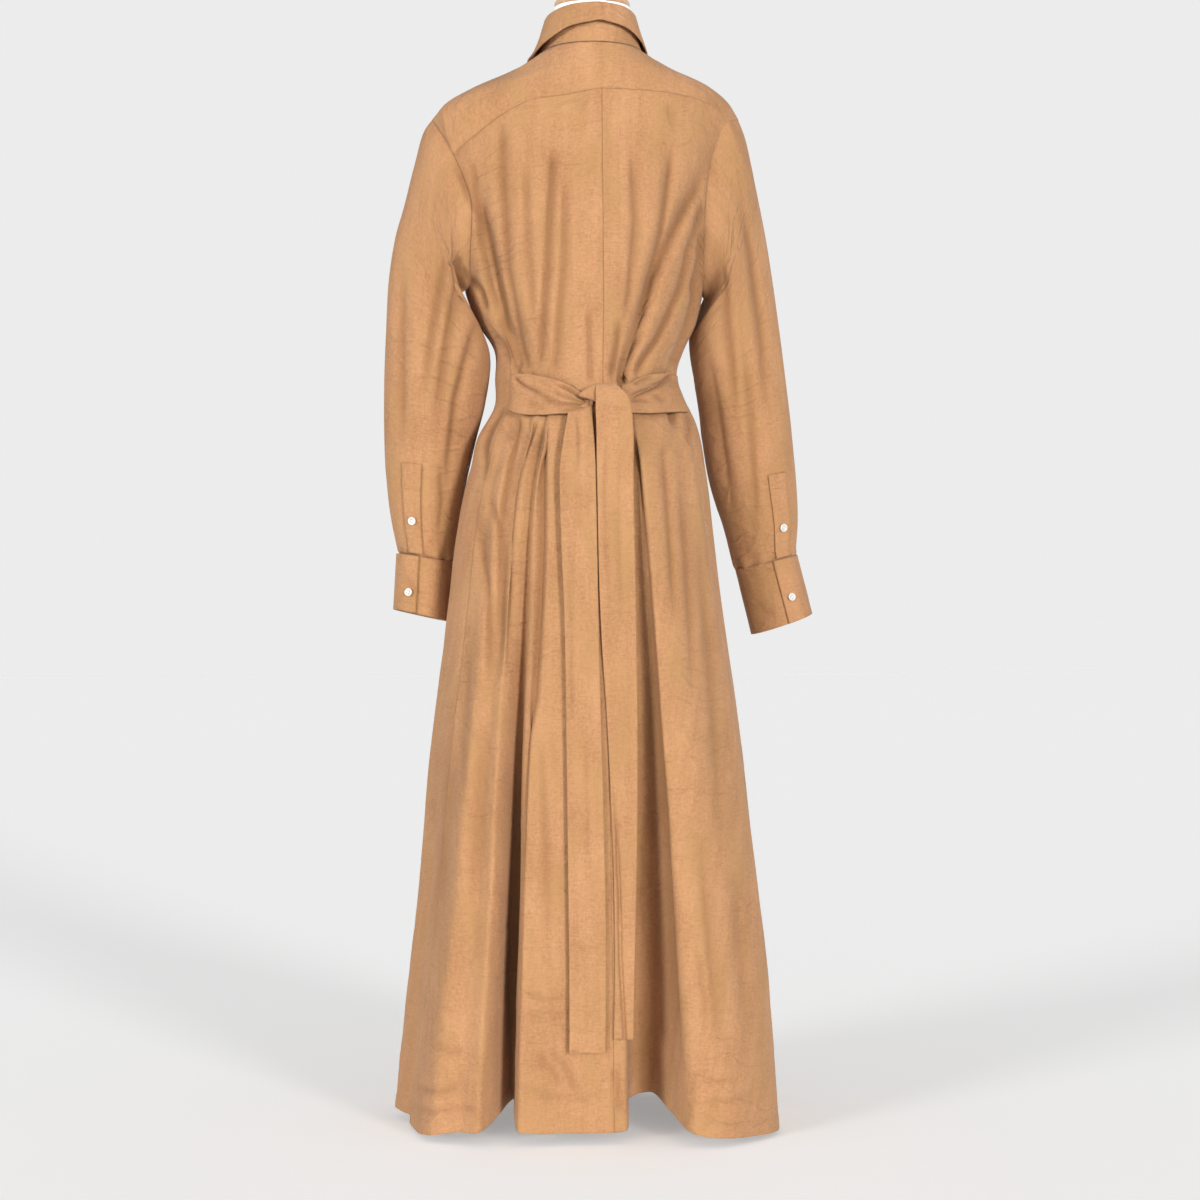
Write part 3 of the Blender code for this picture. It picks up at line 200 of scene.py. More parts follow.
# The same columns, from the side seam (share 0) to the centre front (1).
FRONT_FOLDS = {
    1: table(1000,
        (0, 0, 0, 0, 0, 8, -10), (130, 130, 130, 2, 2, -10, -4), (270, 280, 280, -3, -3, 8, 0),
        (410, 420, 410, 3, 3, -18, 10), (550, 560, 550, -3, -3, 28, 0),
        (690, 700, 700, 2, 3, -12, 8), (830, 840, 860, -2, -2, 10, 0),
        (1000, 1000, 1000, 0, 0, 14, 0)),
    -1: table(1000,
        (0, 0, 0, 0, 0, 2, -10), (120, 120, 130, -2, 2, -12, -4), (260, 270, 280, 3, -3, 10, 0),
        (400, 410, 420, -3, 3, -16, 10), (540, 550, 570, 3, -3, 26, 0),
        (680, 690, 710, -2, 2, -12, 8), (840, 840, 860, 2, -2, 10, 0),
        (1000, 1000, 1000, 0, 0, 14, 0)),
}

# Side seams. Columns: height, angle.
SIDE_SEAM = table((1000, 1),
    (0, 70), (892, 64), (942, 64), (996, 71), (1055, 82))

# Armholes in three stretches: up the back, over the shoulder, down the front.
# Columns: angle on the left, height on the left, angle and height on the right.
ARMHOLE_BACK = table((10, 10000, 10, 10000),
    (820, 10550, 820, 10550), (730, 10740, 710, 10720), (665, 11000, 640, 10980),
    (625, 11300, 600, 11340), (605, 11600, 580, 11760), (615, 11900, 585, 12240),
    (650, 12168, 590, 12680))
ARMHOLE_TOP = table((10, 10000, 10, 10000),
    (650, 12168, 590, 12680), (700, 12360, 660, 12730), (770, 12540, 740, 12765),
    (860, 12660, 830, 12780), (940, 12675, 920, 12760), (1020, 12620, 1000, 12680),
    (1080, 12480, 1080, 12500), (1120, 12300, 1120, 12310))
ARMHOLE_FRONT = table((10, 10000, 10, 10000),
    (1120, 12300, 1120, 12310), (1160, 12000, 1160, 12000), (1180, 11650, 1180, 11660),
    (1180, 11300, 1180, 11300), (1150, 11000, 1150, 10980), (1080, 10780, 1080, 10740),
    (970, 10630, 970, 10580), (820, 10550, 820, 10550))

# Neckline. Columns: angle, height.
NECKLINE = table((1, 10000),
    (0, 13560), (45, 13555), (90, 13530), (112, 13470), (140, 13270), (165, 13020), (180, 12920))

# Collar. Columns: angle, height of the fold line, its reach from the neck's axis,
# drop of the leaf's free edge below the fold line, reach of that edge.
COLLAR = table((1, 10000, 10000, 10000, 10000),
    (0, 14045, 535, 215, 660), (30, 14030, 535, 260, 670), (60, 13985, 540, 350, 690),
    (90, 13930, 545, 430, 735), (120, 13780, 580, 500, 880), (150, 13520, 660, 620, 1080),
    (176, 13300, 720, 740, 1240))
NECK_AXIS = (0.0015, 0.036)
COLLAR_END = 176.0      # angle of the collar's front ends
COLLAR_OVER = 0.0052    # the leaf's outer side over the shoulders

# Sleeves, one row for each section below the armhole.
# Columns: x and z of the outer side, x and z of the inner side (x away from the
# body), y of the middle, half depth.
SLEEVE = {
    1: table(10000,
        (2010, 12680, 1560, 10550, 0, 520), (2110, 12520, 1690, 10440, 0, 560),
        (2265, 11920, 1560, 10150, -20, 590), (2392, 11410, 1390, 9940, -60, 600),
        (2519, 10900, 1280, 9760, -100, 600), (2552, 10200, 1235, 9540, -180, 580),
        (2572, 9500, 1270, 9180, -300, 550), (2555, 8800, 1385, 8620, -460, 510),
        (2525, 8200, 1490, 8080, -580, 470), (2460, 7700, 1570, 7600, -640, 430),
        (2370, 7300, 1630, 7200, -660, 370), (2340, 7210, 1660, 7090, -660, 345)),
    -1: table(10000,
        (2000, 12760, 1500, 10550, 0, 520), (2080, 12520, 1600, 10440, 0, 550),
        (2200, 11940, 1500, 10160, 0, 580), (2300, 11500, 1395, 9940, -20, 590),
        (2410, 10950, 1400, 9700, -60, 590), (2540, 10200, 1450, 9400, -120, 570),
        (2660, 9500, 1520, 9080, -200, 540), (2770, 8740, 1620, 8500, -280, 500),
        (2850, 8120, 1760, 7960, -360, 460), (2885, 7650, 1915, 7500, -420, 420),
        (2870, 7280, 2010, 7140, -440, 370), (2870, 7206, 2053, 7016, -440, 350)),
}
# Cuffs, the same columns, top and bottom.
CUFF = {
    1: table(10000,
        (2380, 7200, 1640, 7080, -660, 350), (2420, 6480, 1690, 6320, -660, 380)),
    -1: table(10000,
        (2885, 7200, 2060, 7010, -440, 350), (3090, 6430, 2280, 6150, -440, 380)),
}
SLEEVE_SETTLE = 0.16    # share of the sleeve that takes it from armhole to ellipse
GATHERS = 10            # gathers around a sleeve's end
GATHER_LIFT = 0.0016
GATHER_START = 0.84     # share of the sleeve where the gathers begin
PLACKET_TURN = {1: 117.0, -1: 112.0}    # degrees around a sleeve, inner, back, outer
CUFF_EDGE = {1: 108.0, -1: 90.0}       # turn of a cuff's visible end
PLACKET_TOP = 0.70      # share of the sleeve where the placket starts
WRIST = {1: (0.2000, -0.0660, 0.7200), -1: (-0.2480, -0.0440, 0.7200)}
SLEEVE_BUTTONS = {1: (0.761, 0.670), -1: (0.754, 0.664)}    # heights, placket and cuff

# Belt pieces on the back. Columns: angle, height of the lower and the upper edge.
BELT = {
    1: table((10, 10000, 10000),
        (633, 9000, 9420), (540, 8930, 9425), (440, 8900, 9400), (330, 8895, 9355),
        (230, 8920, 9280), (150, 8960, 9180), (70, 9010, 9085)),
    -1: table((10, 10000, 10000),
        (633, 8990, 9440), (500, 8970, 9450), (360, 8945, 9430), (250, 8925, 9370),
        (160, 8920, 9300), (100, 8930, 9240)),
}
BELT_OUT = 0.0069       # outer side of the belt over the plain section

# Knot: x, height, reach of its centre over the plain section; half sizes.
KNOT = (-0.0060, 0.9060, 0.0125)
KNOT_SIZE = (0.0160, 0.0065, 0.0180)

# Wrap beside the knot, from its pointed end: x, height, reach past the knot's centre.
WRAP_X, WRAP_Z, WRAP_OUT = (0.0320, 0.0105), (0.9130, 0.9165), (-0.0036, 0.0010)

# Tails of the belt. Columns: height, x of the left edge, x of the right edge.
TAIL_UNDER = table(1000,
    (886, 46, 16), (850, 56, 14), (780, 58, 13), (600, 54, 12), (400, 54, 9), (250, 54, 8),
    (111, 55, 11))
TAIL_OVER = table(10000,
    (9300, 130, -60), (9210, 135, -180), (9120, 140, -260), (9000, 140, -305), (8850, 135, -325),
    (8600, 120, -340), (7800, 115, -345), (6500, 100, -350), (5300, 40, -350), (4000, -10, -330),
    (3000, -30, -300), (2000, -20, -260), (1260, 0, -240))
KNOT_FADE = 0.075       # height under the knot over which the tail comes back in

# Dress form, one row for each level section.
# Columns: height, half width, y of the back, y of the front, y where it is widest.
FORM = table(10000,
    (7800, 1180, 820, -800, 0), (8600, 1120, 860, -850, 0), (9400, 960, 880, -820, 0),
    (10000, 1050, 920, -860, 0), (10700, 1260, 980, -980, 0), (11400, 1460, 980, -900, 0),
    (12000, 1580, 960, -740, 0), (12350, 1630, 950, -600, 0), (12620, 1620, 940, -500, 20),
    (12830, 1570, 930, -420, 60), (12970, 1490, 920, -380, 90), (13080, 1370, 920, -360, 120),
    (13167, 1235, 920, -340, 150), (13287, 975, 910, -300, 200), (13405, 775, 895, -250, 260),
    (13490, 640, 880, -200, 300), (13600, 535, 860, -150, 340), (13750, 484, 844, -124, 360),
    (14105, 478, 838, -118, 360))
CAP_TOP = 1.430         # height of the wooden cap's crown
CAP_EDGE = 0.004        # height of its straight rim

# ---- curves
def smooth_curve(xs, ys, at, level_ends=False):
    """Value at `at` of a smooth curve through (xs, ys) that never overshoots them."""
    xs = np.asarray(xs, float)
    ys = np.asarray(ys, float)
    step = np.diff(xs)
    slope = np.diff(ys) / step
    same = slope[1:] * slope[:-1] > 0
    total = np.where(same, slope[1:] + slope[:-1], 1.0)
    tangent = np.empty_like(ys)
    tangent[1:-1] = np.where(same, 2 * slope[1:] * slope[:-1] / total, 0.0)
    tangent[0] = 0.0 if level_ends else slope[0]
    tangent[-1] = 0.0 if level_ends else slope[-1]
    at = np.clip(at, xs[0], xs[-1])
    i = np.clip(np.searchsorted(xs, at, side="right") - 1, 0, len(step) - 1)
    t = (at - xs[i]) / step[i]
    rise = ys[i + 1] - ys[i]
    start = tangent[i] * step[i]
    end = tangent[i + 1] * step[i]
    return ys[i] + t * (start + t * (3 * rise - 2 * start - end + t * (start + end - 2 * rise)))


def ease(t):
    """0 to 1 with level ends."""
    t = np.clip(t, 0.0, 1.0)
    return t * t * (3 - 2 * t)


def mix(a, b, t):
    return a + (b - a) * t


def read(rows, column, at):
    """Value of a table's column where its first column has a value."""
    rows = rows if rows[0, 0] < rows[-1, 0] else rows[::-1]
    return smooth_curve(rows[:, 0], rows[:, column], at)


def run_along(points, axis=0):
    """Distance from the start of a line or of a grid's lines along an axis."""
    step = np.linalg.norm(np.diff(points, axis=axis), axis=-1)
    start = np.zeros_like(np.take(step, [0], axis=axis))
    return np.concatenate((start, np.cumsum(step, axis=axis)), axis=axis)


def closed(grid):
    return np.concatenate((grid, grid[:, :1]), axis=1)


def full_turn(count):
    return np.linspace(0.0, 2 * np.pi, count, endpoint=False)


# ---- dress surface
def body_point(side, angle, height, lift=0.0):
    """Point of the dress at an angle (degrees) and height, moved out by lift."""
    width = read(BODY, 1 if side > 0 else 2, height)
    back, front, middle = (read(BODY, column, height) for column in (3, 4, 5))
    turn = np.radians(angle)
    depth = np.where(np.cos(turn) > 0, back - middle, middle - front)
    across = 0.45 * np.sin(turn)
    along = np.cos(turn)
    length = np.hypot(across, along)
    x = side * (width * np.sin(turn) + lift * across / length)
    y = middle + depth * np.cos(turn) + lift * along / length
    return np.stack(np.broadcast_arrays(x, y, height), axis=-1)


def fold_row(folds, column, height):
    """Shares, lifts and hem rise of a fold table at a height, read at `column`."""
    index = np.linspace(0.0, 1.0, len(folds))
    down = np.clip((BELT_LOW - height) / (BELT_LOW - HEM), 0.0, 1.0)
    up = np.clip((height - BELT_HIGH) / (1.10 - BELT_HIGH), 0.0, 1.0)
    under_belt = ease((height - BELT_LOW) / (BELT_HIGH - BELT_LOW))
    share = mix(folds[:, 1], folds[:, 2], down)
    share = mix(share, folds[:, 0], up)
    fade = np.clip((CHEST_FADE - height) / (CHEST_FADE - BELT_HIGH), 0.0, 1.0) ** 1.3
    lift = mix(0.6 * folds[:, 4], folds[:, 5], down ** 1.25)
    lift = mix(lift, 0.12 * folds[:, 3] * fade, under_belt)
    rise = folds[:, 6] * np.clip(1 - (height - HEM) / HEM_REACH, 0.0, 1.0) ** 2
    return (
        smooth_curve(index, share, column),
        smooth_curve(index, lift, column, level_ends=True),
        smooth_curve(index, rise, column, level_ends=True),
    )


def fold_columns(folds):
    """Places of a panel's columns: every crest and trough, and half way between them."""
    return np.linspace(0.0, 1.0, 2 * len(folds) - 1)


def low_heights():
    """Heights of the rows from the hem to the underarm."""
    skirt = HEM + (BELT_LOW - HEM) * np.linspace(0.0, 1.0, SKIRT_ROWS) ** 0.9
    bodice = np.linspace(BELT_HIGH, UNDERARM, BODICE_ROWS)
    return np.concatenate((skirt, [(BELT_LOW + BELT_HIGH) / 2], bodice))


def low_rows(side, folds, front):
    """Rows of a panel from the hem to the underarm."""
    columns = fold_columns(folds)
    rows = []
    for height in low_heights():
        share, lift, rise = fold_row(folds, columns, height)
        seam = read(SIDE_SEAM, 1, height)
        angle = mix(seam, 180.0, share) if front else seam * share
        rows.append(body_point(side, angle, height + rise, lift))
    return rows


def armhole(table, side):
    """Angles and heights of an armhole stretch on one side."""
    first = 0 if side > 0 else 2
    return table[:, first], table[:, first + 1]


def back_panel(side):
    """Points of a back panel, rows from the hem to the yoke seam."""
    folds = BACK_FOLDS[side]
    rows = low_rows(side, folds, front=False)
    columns = fold_columns(folds)
    angles, heights = armhole(ARMHOLE_BACK, side)
    for k in range(1, len(angles)):
        centre = mix(UNDERARM, YOKE_BACK, k / (len(angles) - 1))
        share, lift, _ = fold_row(folds, columns, centre)
        height = mix(centre, heights[k], columns ** YOKE_CURVE[side])
        keep = 1 - share * k / (len(angles) - 1)
        rows.append(body_point(side, angles[k] * share, height, lift * keep))
    return np.array(rows)


def neckline(angle):
    return read(NECKLINE, 1, angle)


def front_panel(side):
    """Points of a front panel, rows from the hem to the neckline."""
    folds = FRONT_FOLDS[side]
    rows = low_rows(side, folds, front=True)
    columns = fold_columns(folds)
    angles, heights = armhole(ARMHOLE_FRONT[::-1], side)
    seam_heights = np.linspace(heights[-1], neckline(FRONT_SEAM), YOKE_ROWS + 1)
    angles = np.append(angles, np.full(YOKE_ROWS, FRONT_SEAM))
    heights = np.append(heights, seam_heights[1:])
    count = len(angles) - 1
    for k in range(1, count + 1):
        centre = mix(UNDERARM, NECK_FRONT, k / count)
        share, lift, _ = fold_row(folds, columns, centre)
        angle = mix(angles[k], 180.0, share)
        level = mix(heights[k], centre, 1 - (1 - share) ** 1.3)
        cut = neckline(angle) - (neckline(FRONT_SEAM) - heights[k]) * (1 - share)
        height = mix(level, cut, ease((k - 5) / (count - 5)))
        rows.append(body_point(side, angle, height, lift * share * (1 - k / count)))
    return np.array(rows)


def yoke_half(side):
    """Columns of the yoke from the centre back to the front seam, rows going up."""
    folds = BACK_FOLDS[side]
    columns = fold_columns(folds)
    share, _, _ = fold_row(folds, columns, YOKE_BACK)
    angles, heights = armhole(ARMHOLE_BACK, side)
    low_angle = angles[-1] * share
    low_height = mix(YOKE_BACK, heights[-1], columns ** YOKE_CURVE[side])
    over_angle, over_height = armhole(ARMHOLE_TOP, side)
    low_angle = np.append(low_angle, over_angle[1:])
    low_height = np.append(low_height, over_height[1:])
    rows = []
    for t in np.linspace(0.0, 1.0, YOKE_ROWS + 1):
        height = mix(low_height, neckline(low_angle), t)
        rows.append(body_point(side, low_angle, height))
    return np.array(rows)


# ---- sleeves
def armhole_ring(side):
    """Points of the whole armhole: up the back, over the top, down the front."""
    parts = []
    for table in (ARMHOLE_BACK, ARMHOLE_TOP, ARMHOLE_FRONT):
        angles, heights = armhole(table, side)
        parts.append(body_point(side, angles[:-1], heights[:-1]))
    return np.concatenate(parts)


def tube_ring(side, row, turn, lift=0.0):
    """Ring of a sleeve or cuff from one table row; turn 0 is the inner side."""
    outer = np.array((side * row[0], row[1]))
    inner = np.array((side * row[2], row[3]))
    half = (outer - inner) / 2
    grow = 1 + lift / np.hypot(*half)
    centre = (outer + inner) / 2
    across = -np.cos(turn) * grow
    x = centre[0] + across * half[0]
    z = centre[1] + across * half[1]
    y = row[4] + (row[5] + lift) * np.sin(turn)
    return np.stack((x, y, z), axis=-1)


def ring_turns(side):
    """Turn around the sleeve of each point of the armhole."""
    ring = armhole_ring(side)
    first = SLEEVE[side][0]
    low = np.array((side * first[2], first[3]))
    high = np.array((side * first[0], first[1]))
    axis = (high - low) / 2
    share = ((ring[:, (0, 2)] - (low + high) / 2) @ axis) / (axis @ axis)
    turn = np.arctan2(ring[:, 1] / first[5], -share)
    turn = np.mod(turn, 2 * np.pi)
    turn[0] = 0.0
    return turn


def sleeve_row(side, place):
    """Row of the sleeve table at a share of the way from armhole to cuff."""
    table = SLEEVE[side]
    index = np.linspace(0.0, 1.0, len(table))
    return np.array([smooth_curve(index, table[:, c], place) for c in range(6)])


def sleeve_point(side, turn, place):
    """Points of the sleeve below its cap, gathered towards the cuff."""
    pull = ease((place - GATHER_START) / (1 - GATHER_START))
    wave = GATHER_LIFT * pull * np.cos(GATHERS * turn)
    return tube_ring(side, sleeve_row(side, place), turn, wave)


def sleeve(side):
    ring = armhole_ring(side)
    start = ring_turns(side)
    even = full_turn(len(start))
    places = np.concatenate((np.linspace(0.0, 0.8, 11), np.linspace(0.84, 1.0, 6)))
    rows = []
    for place in places:
        settled = ease(place / SLEEVE_SETTLE)
        turn = mix(start, even, ease(place / 0.5))
        shift = (ring - tube_ring(side, SLEEVE[side][0], start)) * (1 - settled)
        rows.append(sleeve_point(side, turn, place) + shift)
    return np.array(rows)


def cuff_point(side, turn, down, lift=0.0):
    """Point of a cuff, `down` from its top (0) to its edge (1)."""
    row = mix(CUFF[side][0], CUFF[side][1], down)
    return tube_ring(side, row, turn, lift)


def cuff(side):
    """Cuff, lapped over itself beside the placket."""
    swept = np.linspace(0.0, 360.0 + CUFF_LAP, 27)
    turn = np.radians(CUFF_EDGE[side] + swept)
    lift = CUFF_LIFT * (1 - ease((swept - CUFF_LAP - 8.0) / 22.0))
    rows = []
    for down in (1.0, 0.5, 0.0):
        plain = cuff_point(side, turn, down)
        raised = cuff_point(side, turn, down, CUFF_LIFT)
        rows.append(mix(plain, raised, (lift / CUFF_LIFT)[:, None]))
    return np.array(rows)


def placket(side):
    """Strip on the sleeve above the cuff's opening."""
    turn = np.radians(PLACKET_TURN[side] + np.linspace(-14.0, 14.0, 5))
    rows = []
    for place in np.linspace(0.985, PLACKET_TOP, 8):
        pull = ease((place - GATHER_START) / (1 - GATHER_START))
        lift = LAID + CLOTH + SEAM + GATHER_LIFT * pull
        rows.append(tube_ring(side, sleeve_row(side, place), turn, lift))
    return np.array(rows)


# ---- collar
def collar_ring(*columns):
    """Angles of the collar's sections, with columns of its table."""
    angles = np.linspace(0.0, COLLAR_END, 16)
    return [angles] + [read(COLLAR, column, angles) for column in columns]


def neck_point(side, angle, reach, height):
    turn = np.radians(angle)
    x = NECK_AXIS[0] + side * reach * np.sin(turn)
    y = NECK_AXIS[1] + reach * np.cos(turn)
    return np.stack(np.broadcast_arrays(x, y, height), axis=-1)


def stand_line(side, angles):
    """Reach and height of the stand's base at angles around the neck's axis."""
    around = np.linspace(0.0, 180.0, 61)
    base = body_point(side, around, neckline(around))
    x = np.maximum(side * (base[:, 0] - NECK_AXIS[0]), 0.0)
    y = base[:, 1] - NECK_AXIS[1]
    turn = np.degrees(np.arctan2(x, y))
    reach = np.interp(angles, turn, np.hypot(x, y))
    return reach, np.interp(angles, turn, base[:, 2])


def stand_half(side):
    angles, fold, reach = collar_ring(1, 2)
    base, low = stand_line(side, angles)
    base = neck_point(side, angles, base, low + 3 * SEAM)
    top = neck_point(side, angles, reach, fold)
    return np.array([mix(base, top, t) for t in np.linspace(0.0, 1.0, 4)])


def shoulder_height(x, y):
    """Height of the dress's plain surface over a place, and 0 inside the neck."""
    table = BODY[15:]
    width = table[:, 1 if x >= 0 else 2]
    depth = np.where(y > table[:, 5], table[:, 3], table[:, 4]) - table[:, 5]
    reach = np.hypot(x / width, (y - table[:, 5]) / depth)
    return np.interp(1.0, reach, table[:, 0]) if reach[-1] > 1.0 else 0.0


def over_shoulder(points):
    """Points raised where they come too near the shoulders."""
    made = points.copy()
    for point in made:
        x, y = point[:2]
        height = shoulder_height(x, y)
        fall = height - shoulder_height(1.03 * x, y + 0.03 * (y - NECK_AXIS[1]))
        slope = fall / (0.03 * math.hypot(x, y - NECK_AXIS[1]))
        point[2] = max(point[2], height + COLLAR_OVER * math.hypot(1.0, slope))
    return made


def leaf_half(side):
    """Leaf of the collar, over the stand's top edge and down outside it."""
    angles, fold, reach, drop, edge = collar_ring(1, 2, 3, 4)
    base, low = stand_line(side, angles)
    clear = 0.0036 * np.hypot(1.0, (base - reach) / (fold - low))
    wide = 1 + 0.4 * ease((angles - 70.0) / 40.0)
    rows = [
        neck_point(side, angles, reach - 0.0005, fold + 0.0032 * wide),
        neck_point(side, angles, reach + 0.0028 * wide, fold + 0.0024 * wide),
        neck_point(side, angles, reach + 0.0044 * wide, fold - 0.0020),
    ]
    for t in (0.35, 0.7, 1.0):
        height = fold - 0.0020 - (drop - 0.0020) * t
        stand = mix(reach, base, np.clip((fold - height) / (fold - low), 0.0, 1.0))
        out = np.maximum(mix(reach + 0.0044, edge, t), stand + clear * wide)
        rows.append(over_shoulder(neck_point(side, angles, out, height)))
    return np.array(rows)


def both_halves(half):
    """Grid from the right half's end through the centre back to the left half's."""
    return np.concatenate((half(-1)[:, :0:-1], half(1)), axis=1)


# ---- belt and front band
def belt_piece(side):
    first, last = BELT[side][(0, -1), 0]
    angles = np.linspace(first, last, 13)
    low, high = (read(BELT[side], column, angles) for column in (1, 2))
    lift = mix(0.0038, BELT_OUT, ease((first - angles) / 8.0))
    return np.array([body_point(side, angles, mix(low, high, t), lift)
                     for t in np.linspace(0.0, 1.0, 5)])


def back_at(panel, x, height):
    """y of the outer side of a back panel at x and a height."""
    y, z = ([np.interp(abs(x), np.abs(row[:, 0]), row[:, c]) for row in panel] for c in (1, 2))
    return np.interp(height, z, y)


def tail_edges(rows, height):
    return np.linspace(read(rows, 1, height), read(rows, 2, height), 5)


def hang_y(panels, xs, height):
    """y of the outer side of a tail over the outermost crests behind it."""
    touch = max(back_at(panels[1 if x >= 0 else -1], x, height + up)
                for x in xs for up in (-0.004, 0.0, 0.004))
    return touch + LAID + BELT_CLOTH


def tail_under(panels):
    """Tail from under the left belt piece, hanging on the back of the skirt."""
    rows = []
    for t in np.linspace(1.0, 0.0, 14):
        height = mix(TAIL_UNDER[0, 0], TAIL_UNDER[-1, 0], t)
        xs = tail_edges(TAIL_UNDER, height)
        y = hang_y(panels, xs, height)
        shift = (1 - t) ** 4
        rows.append([(x, y, height + (under_top(x) - TAIL_UNDER[0, 0]) * shift) for x in xs])
    return np.array(rows)


def tail_over(panels):
    """Tail from behind the knot, over it and down the back of the skirt."""
    level, lift = KNOT[1:]
    middle = body_point(1, 0.0, level)[1] + lift
    clear = LAID + BELT_CLOTH
    rows = []
    for height in np.linspace(TAIL_OVER[-1, 0], level - 0.030, 12):
        xs = tail_edges(TAIL_OVER, height)
        y = hang_y(panels, xs, height)
        knot = middle + KNOT_SIZE[1] + clear
        y = max(y, mix(y, knot, ease((height - (level - KNOT_FADE)) / (KNOT_FADE - 0.015))))
        rows.append([(x, y, height) for x in xs])
    for turn in (-25.0, 0.0, 25.0, 50.0, 75.0, 100.0, 125.0):
        turn = math.radians(turn)
        height = level + (KNOT_SIZE[2] + clear) * math.sin(turn)
        y = middle + (KNOT_SIZE[1] + clear) * math.cos(turn)
        rows.append([(x, y, height) for x in tail_edges(TAIL_OVER, height)])
    return np.array(rows)


def under_top(x):
    """Upper end of the under tail, along the lower edge of the belt's left piece."""
    return read(BELT[1], 1, math.degrees(math.asin(x / 0.12))) - 2 * SEAM


def band():
    """Front band, over the meeting edges of the two fronts."""
    left, right = front_panel(1), front_panel(-1)
    xs = np.linspace(-BAND_WIDTH / 2, BAND_WIDTH / 2, 5)
    rows = []
    for j in range(len(left)):
        line = np.concatenate((right[j], left[j][::-1]))
        line = line[np.argsort(line[:, 0])]
        y = np.interp(xs, line[:, 0], line[:, 1]) - LAID - CLOTH
        rows.append(np.stack((xs, y, np.interp(xs, line[:, 0], line[:, 2])), axis=-1))
    return np.array(rows)


def unit(vectors):
    return vectors / np.linalg.norm(vectors, axis=-1, keepdims=True)


def grid_normals(points, flip, ring=False):
    """Unit normals at the points of a grid, from its faces weighted by their angles."""
    if ring:
        points = np.concatenate((points[:, -1:], points, points[:, :1]), axis=1)
    corner = (points[:-1, :-1], points[:-1, 1:], points[1:, 1:], points[1:, :-1])
    face = unit(np.cross(corner[2] - corner[0], corner[3] - corner[1]))
    total = np.zeros_like(points)
    places = ((slice(-1), slice(-1)), (slice(-1), slice(1, None)),
              (slice(1, None), slice(1, None)), (slice(1, None), slice(-1)))
    for k, place in enumerate(places):
        before = unit(corner[k - 1] - corner[k])
        after = unit(corner[(k + 1) % 4] - corner[k])
        angle = np.arccos(np.clip(np.sum(before * after, axis=-1), -1.0, 1.0))
        total[place] += face * angle[..., None]
    if ring:
        total = total[:, 1:-1]
    return unit(-total if flip else total)


def surface(points, row, column):
    """Point and outward normal of a grid between its points."""
    j, i = int(row), int(column)
    v, u = row - j, column - i
    corner = points[j:j + 2, i:i + 2]
    point = mix(mix(corner[0, 0], corner[0, 1], u), mix(corner[1, 0], corner[1, 1], u), v)
    along = mix(corner[0, 1] - corner[0, 0], corner[1, 1] - corner[1, 0], v)
    up = mix(corner[1, 0] - corner[0, 0], corner[1, 1] - corner[0, 1], u)
    return point, np.cross(along, up)


def seen(points):
    """Places of points in the picture, in pixels."""
    away = points - EYE
    depth = -away @ AWAY
    x = FRAME / 2 + FOCUS * (away @ RIGHT) / depth
    y = FRAME / 2 - FOCUS * away[..., 2] / depth
    return np.stack((x, y), axis=-1)
